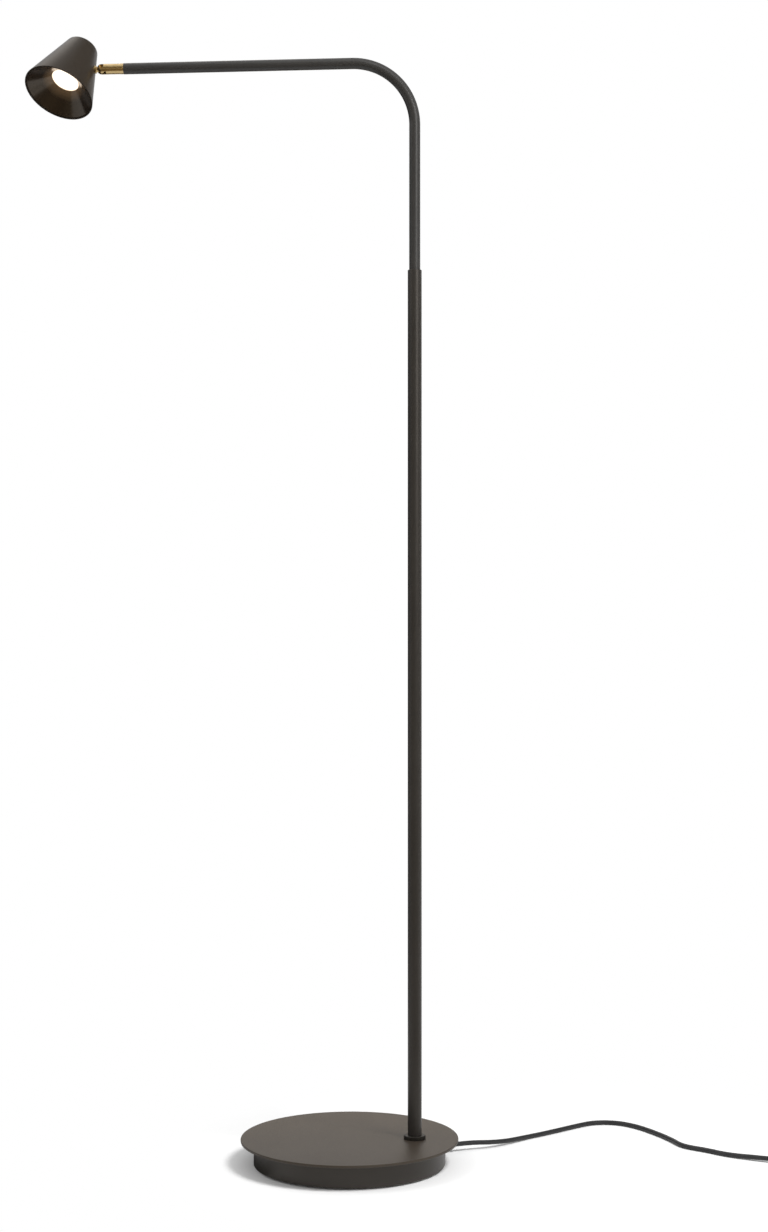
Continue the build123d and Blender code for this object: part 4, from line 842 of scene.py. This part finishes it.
def floor_finish():
    """White floor that keeps shadows near the lamp and fades to plain white away from it."""
    made = bpy.data.materials.new("floor")
    made.use_nodes = True
    tree = made.node_tree
    tree.nodes.remove(tree.nodes["Principled BSDF"])
    keep = node(tree, "ShaderNodeMapRange", interpolation_type="SMOOTHSTEP")
    keep.inputs["From Min"].default_value = 0.0
    keep.inputs["From Max"].default_value = SHADOW_FADE
    tree.links.new(ball_fade(tree, SHADOW_CENTRE, SHADOW_SIZE), keep.inputs["Value"])
    path = node(tree, "ShaderNodeLightPath")
    seen = either(tree, path.outputs["Is Camera Ray"], path.outputs["Is Glossy Ray"])
    away = node(tree, "ShaderNodeMath", operation="SUBTRACT")
    away.inputs[0].default_value = 1.0
    tree.links.new(keep.outputs["Result"], away.inputs[1])
    plain = node(tree, "ShaderNodeMath", operation="MULTIPLY")
    tree.links.new(seen, plain.inputs[0])
    tree.links.new(away.outputs["Value"], plain.inputs[1])
    matt = node(tree, "ShaderNodeBsdfDiffuse", Color=FLOOR_TONE)
    white = node(tree, "ShaderNodeEmission")
    mix = node(tree, "ShaderNodeMixShader")
    tree.links.new(plain.outputs["Value"], mix.inputs["Fac"])
    tree.links.new(matt.outputs["BSDF"], mix.inputs[1])
    tree.links.new(white.outputs["Emission"], mix.inputs[2])
    tree.links.new(mix.outputs["Shader"], tree.nodes["Material Output"].inputs["Surface"])
    return made


def stage_sheet(name, points, faces, finish):
    """A sheet of the studio."""
    mesh = bpy.data.meshes.new(name)
    mesh.from_pydata(points, [], faces)
    made = stand(name, mesh)
    mesh.materials.append(finish)
    return made


floor_corners = [(x * FLOOR_HALF, y * FLOOR_HALF, 0) for x, y in ((-1, -1), (1, -1), (1, 1), (-1, 1))]
stage_sheet("floor", floor_corners, [(0, 1, 2, 3)], floor_finish())


def studio_world():
    """White to the camera and in reflections, and a softer white as light."""
    world = bpy.data.worlds.new("studio")
    bpy.context.scene.world = world
    world.use_nodes = True
    tree = world.node_tree
    path = node(tree, "ShaderNodeLightPath")
    seen = either(tree, path.outputs["Is Camera Ray"], path.outputs["Is Glossy Ray"])
    level = node(tree, "ShaderNodeMapRange")
    level.inputs["To Min"].default_value = WORLD_LIGHT
    level.inputs["To Max"].default_value = 1.0
    tree.links.new(either(tree, seen, path.outputs["Is Transmission Ray"]), level.inputs["Value"])
    tree.links.new(level.outputs["Result"], tree.nodes["Background"].inputs["Strength"])
    tree.nodes["Background"].inputs["Color"].default_value = (1, 1, 1, 1)


studio_world()


def soft_light(name, place, target, size, watts, diffuse=True, glossy=True, colour=(1, 1, 1)):
    """A square area light that faces a target, as light, as a highlight or as both."""
    data = bpy.data.lights.new(name, "AREA")
    data.size = size
    data.energy = watts
    data.color = colour
    made = stand(name, data)
    made.location = place
    made.rotation_euler = (Vector(target) - Vector(place)).to_track_quat("-Z", "Y").to_euler()
    made.visible_diffuse = diffuse
    made.visible_glossy = glossy


soft_light("key", (1.35, -1.10, 2.45), (0.05, 0.0, 0.2), size=0.8, watts=70.0, glossy=False)
soft_light("fill", (-2.0, -1.0, 2.6), (-0.2, 0.0, 1.0), size=1.4, watts=14.0)
soft_light("strip", (2.16, -2.16, 2.2), (0.0, 0.0, 1.3), size=1.5, watts=35.0, diffuse=False)
soft_light(
    "rim", (-1.00, 0.86, 3.12), (-0.31, 0.0, 1.26), size=1.1, watts=4.6,
    diffuse=False, colour=(1.0, 0.92, 0.83),
)
soft_light("boom", (0.4, -1.7, 3.0), (0.0, 0.0, 1.25), size=1.1, watts=8.0, diffuse=False)

# Cards: name, angles round the lamp in degrees from +X, distance and height of both long edges, and tone
WALL = (3.6, 3.6)
ON_FLOOR = (0.003, 0.003)
CARD_STEPS = 16
CARDS = (
    ("front_flag", (212.0, 338.0), WALL, (0.02, 5.0), (0.42, 0.35, 0.24)),
    ("floor_flag", (205.0, 330.0), (1.0, 3.6), (0.004, 0.02), (0.25, 0.185, 0.105)),
    ("left_floor", (130.0, 205.0), (0.9, 2.6), ON_FLOOR, (0.05, 0.05, 0.05)),
    ("top_flag", (80.0, 118.0), (0.95, 2.2), (2.8, 2.8), (0.25, 0.24, 0.23)),
    ("top_right_flag", (10.0, 80.0), (0.4, 3.0), (3.4, 3.4), (0.62, 0.60, 0.56)),
    ("far_right_flag", (15.0, 72.0), (3.0, 4.8), (3.4, 3.4), (0.34, 0.33, 0.31)),
    ("near_floor", (250.0, 345.0), (0.42, 1.0), ON_FLOOR, (0.14, 0.11, 0.07)),
    # Black sheet on the floor at the plinth's left foot, seen only in reflections: a painted shadow of the
    # base in the plinth's reflection
    ("left_painted_shadow_sheet", (105.0, 215.0), (0.112, 0.155), (0.0005, 0.0005), (0.02, 0.02, 0.02)),
    ("left_wall", (114.0, 176.0), WALL, (0.02, 2.0), (0.03, 0.03, 0.03)),
    ("left_front_wall", (176.0, 212.0), WALL, (1.0, 2.0), (0.03, 0.03, 0.03)),
    ("right_wall", (-22.0, 76.0), WALL, (0.02, 2.6), (0.70, 0.68, 0.66)),
    ("back_floor", (60.0, 125.0), (0.73, 2.5), ON_FLOOR, (0.05, 0.04, 0.03)),
    ("back_wall", (76.0, 114.0), WALL, (0.02, 0.92), (1.0, 0.83, 0.64)),
)


def card(name, ways, distance, height, tone):
    """A matt card that bends round the lamp between two angles, seen only in reflections."""
    finish, _, surface = shader(name)
    surface.inputs["Base Color"].default_value = (*tone, 1)
    surface.inputs["Specular IOR Level"].default_value = 0.0
    points = []
    for k in range(CARD_STEPS + 1):
        way = math.radians(ways[0] + (ways[1] - ways[0]) * k / CARD_STEPS)
        for r, z in zip(distance, height):
            points.append((r * math.cos(way), r * math.sin(way), z))
    faces = [(2 * k, 2 * k + 2, 2 * k + 3, 2 * k + 1) for k in range(CARD_STEPS)]
    made = stage_sheet(name, points, faces, finish)
    made.visible_camera = False
    made.visible_diffuse = False
    made.visible_shadow = False


for row in CARDS:
    card(*row)

# Camera: level, at the photograph's angle and distance
IMAGE_H = 1232.0
FOCAL_PX = 2084.8
SENSOR = 36.0
CAMERA_PLACE = (0.24813, -2.38266, 0.62981)
CAMERA_TURN = math.radians(5.0)
camera_data = bpy.data.cameras.new("camera")
camera_data.sensor_fit = "VERTICAL"
camera_data.sensor_height = SENSOR
camera_data.lens = SENSOR * FOCAL_PX / IMAGE_H
camera = stand("camera", camera_data)
camera.location = CAMERA_PLACE
camera.rotation_euler = (math.pi / 2, 0, CAMERA_TURN)
bpy.context.scene.camera = camera
bpy.context.scene.view_settings.view_transform = "Standard"
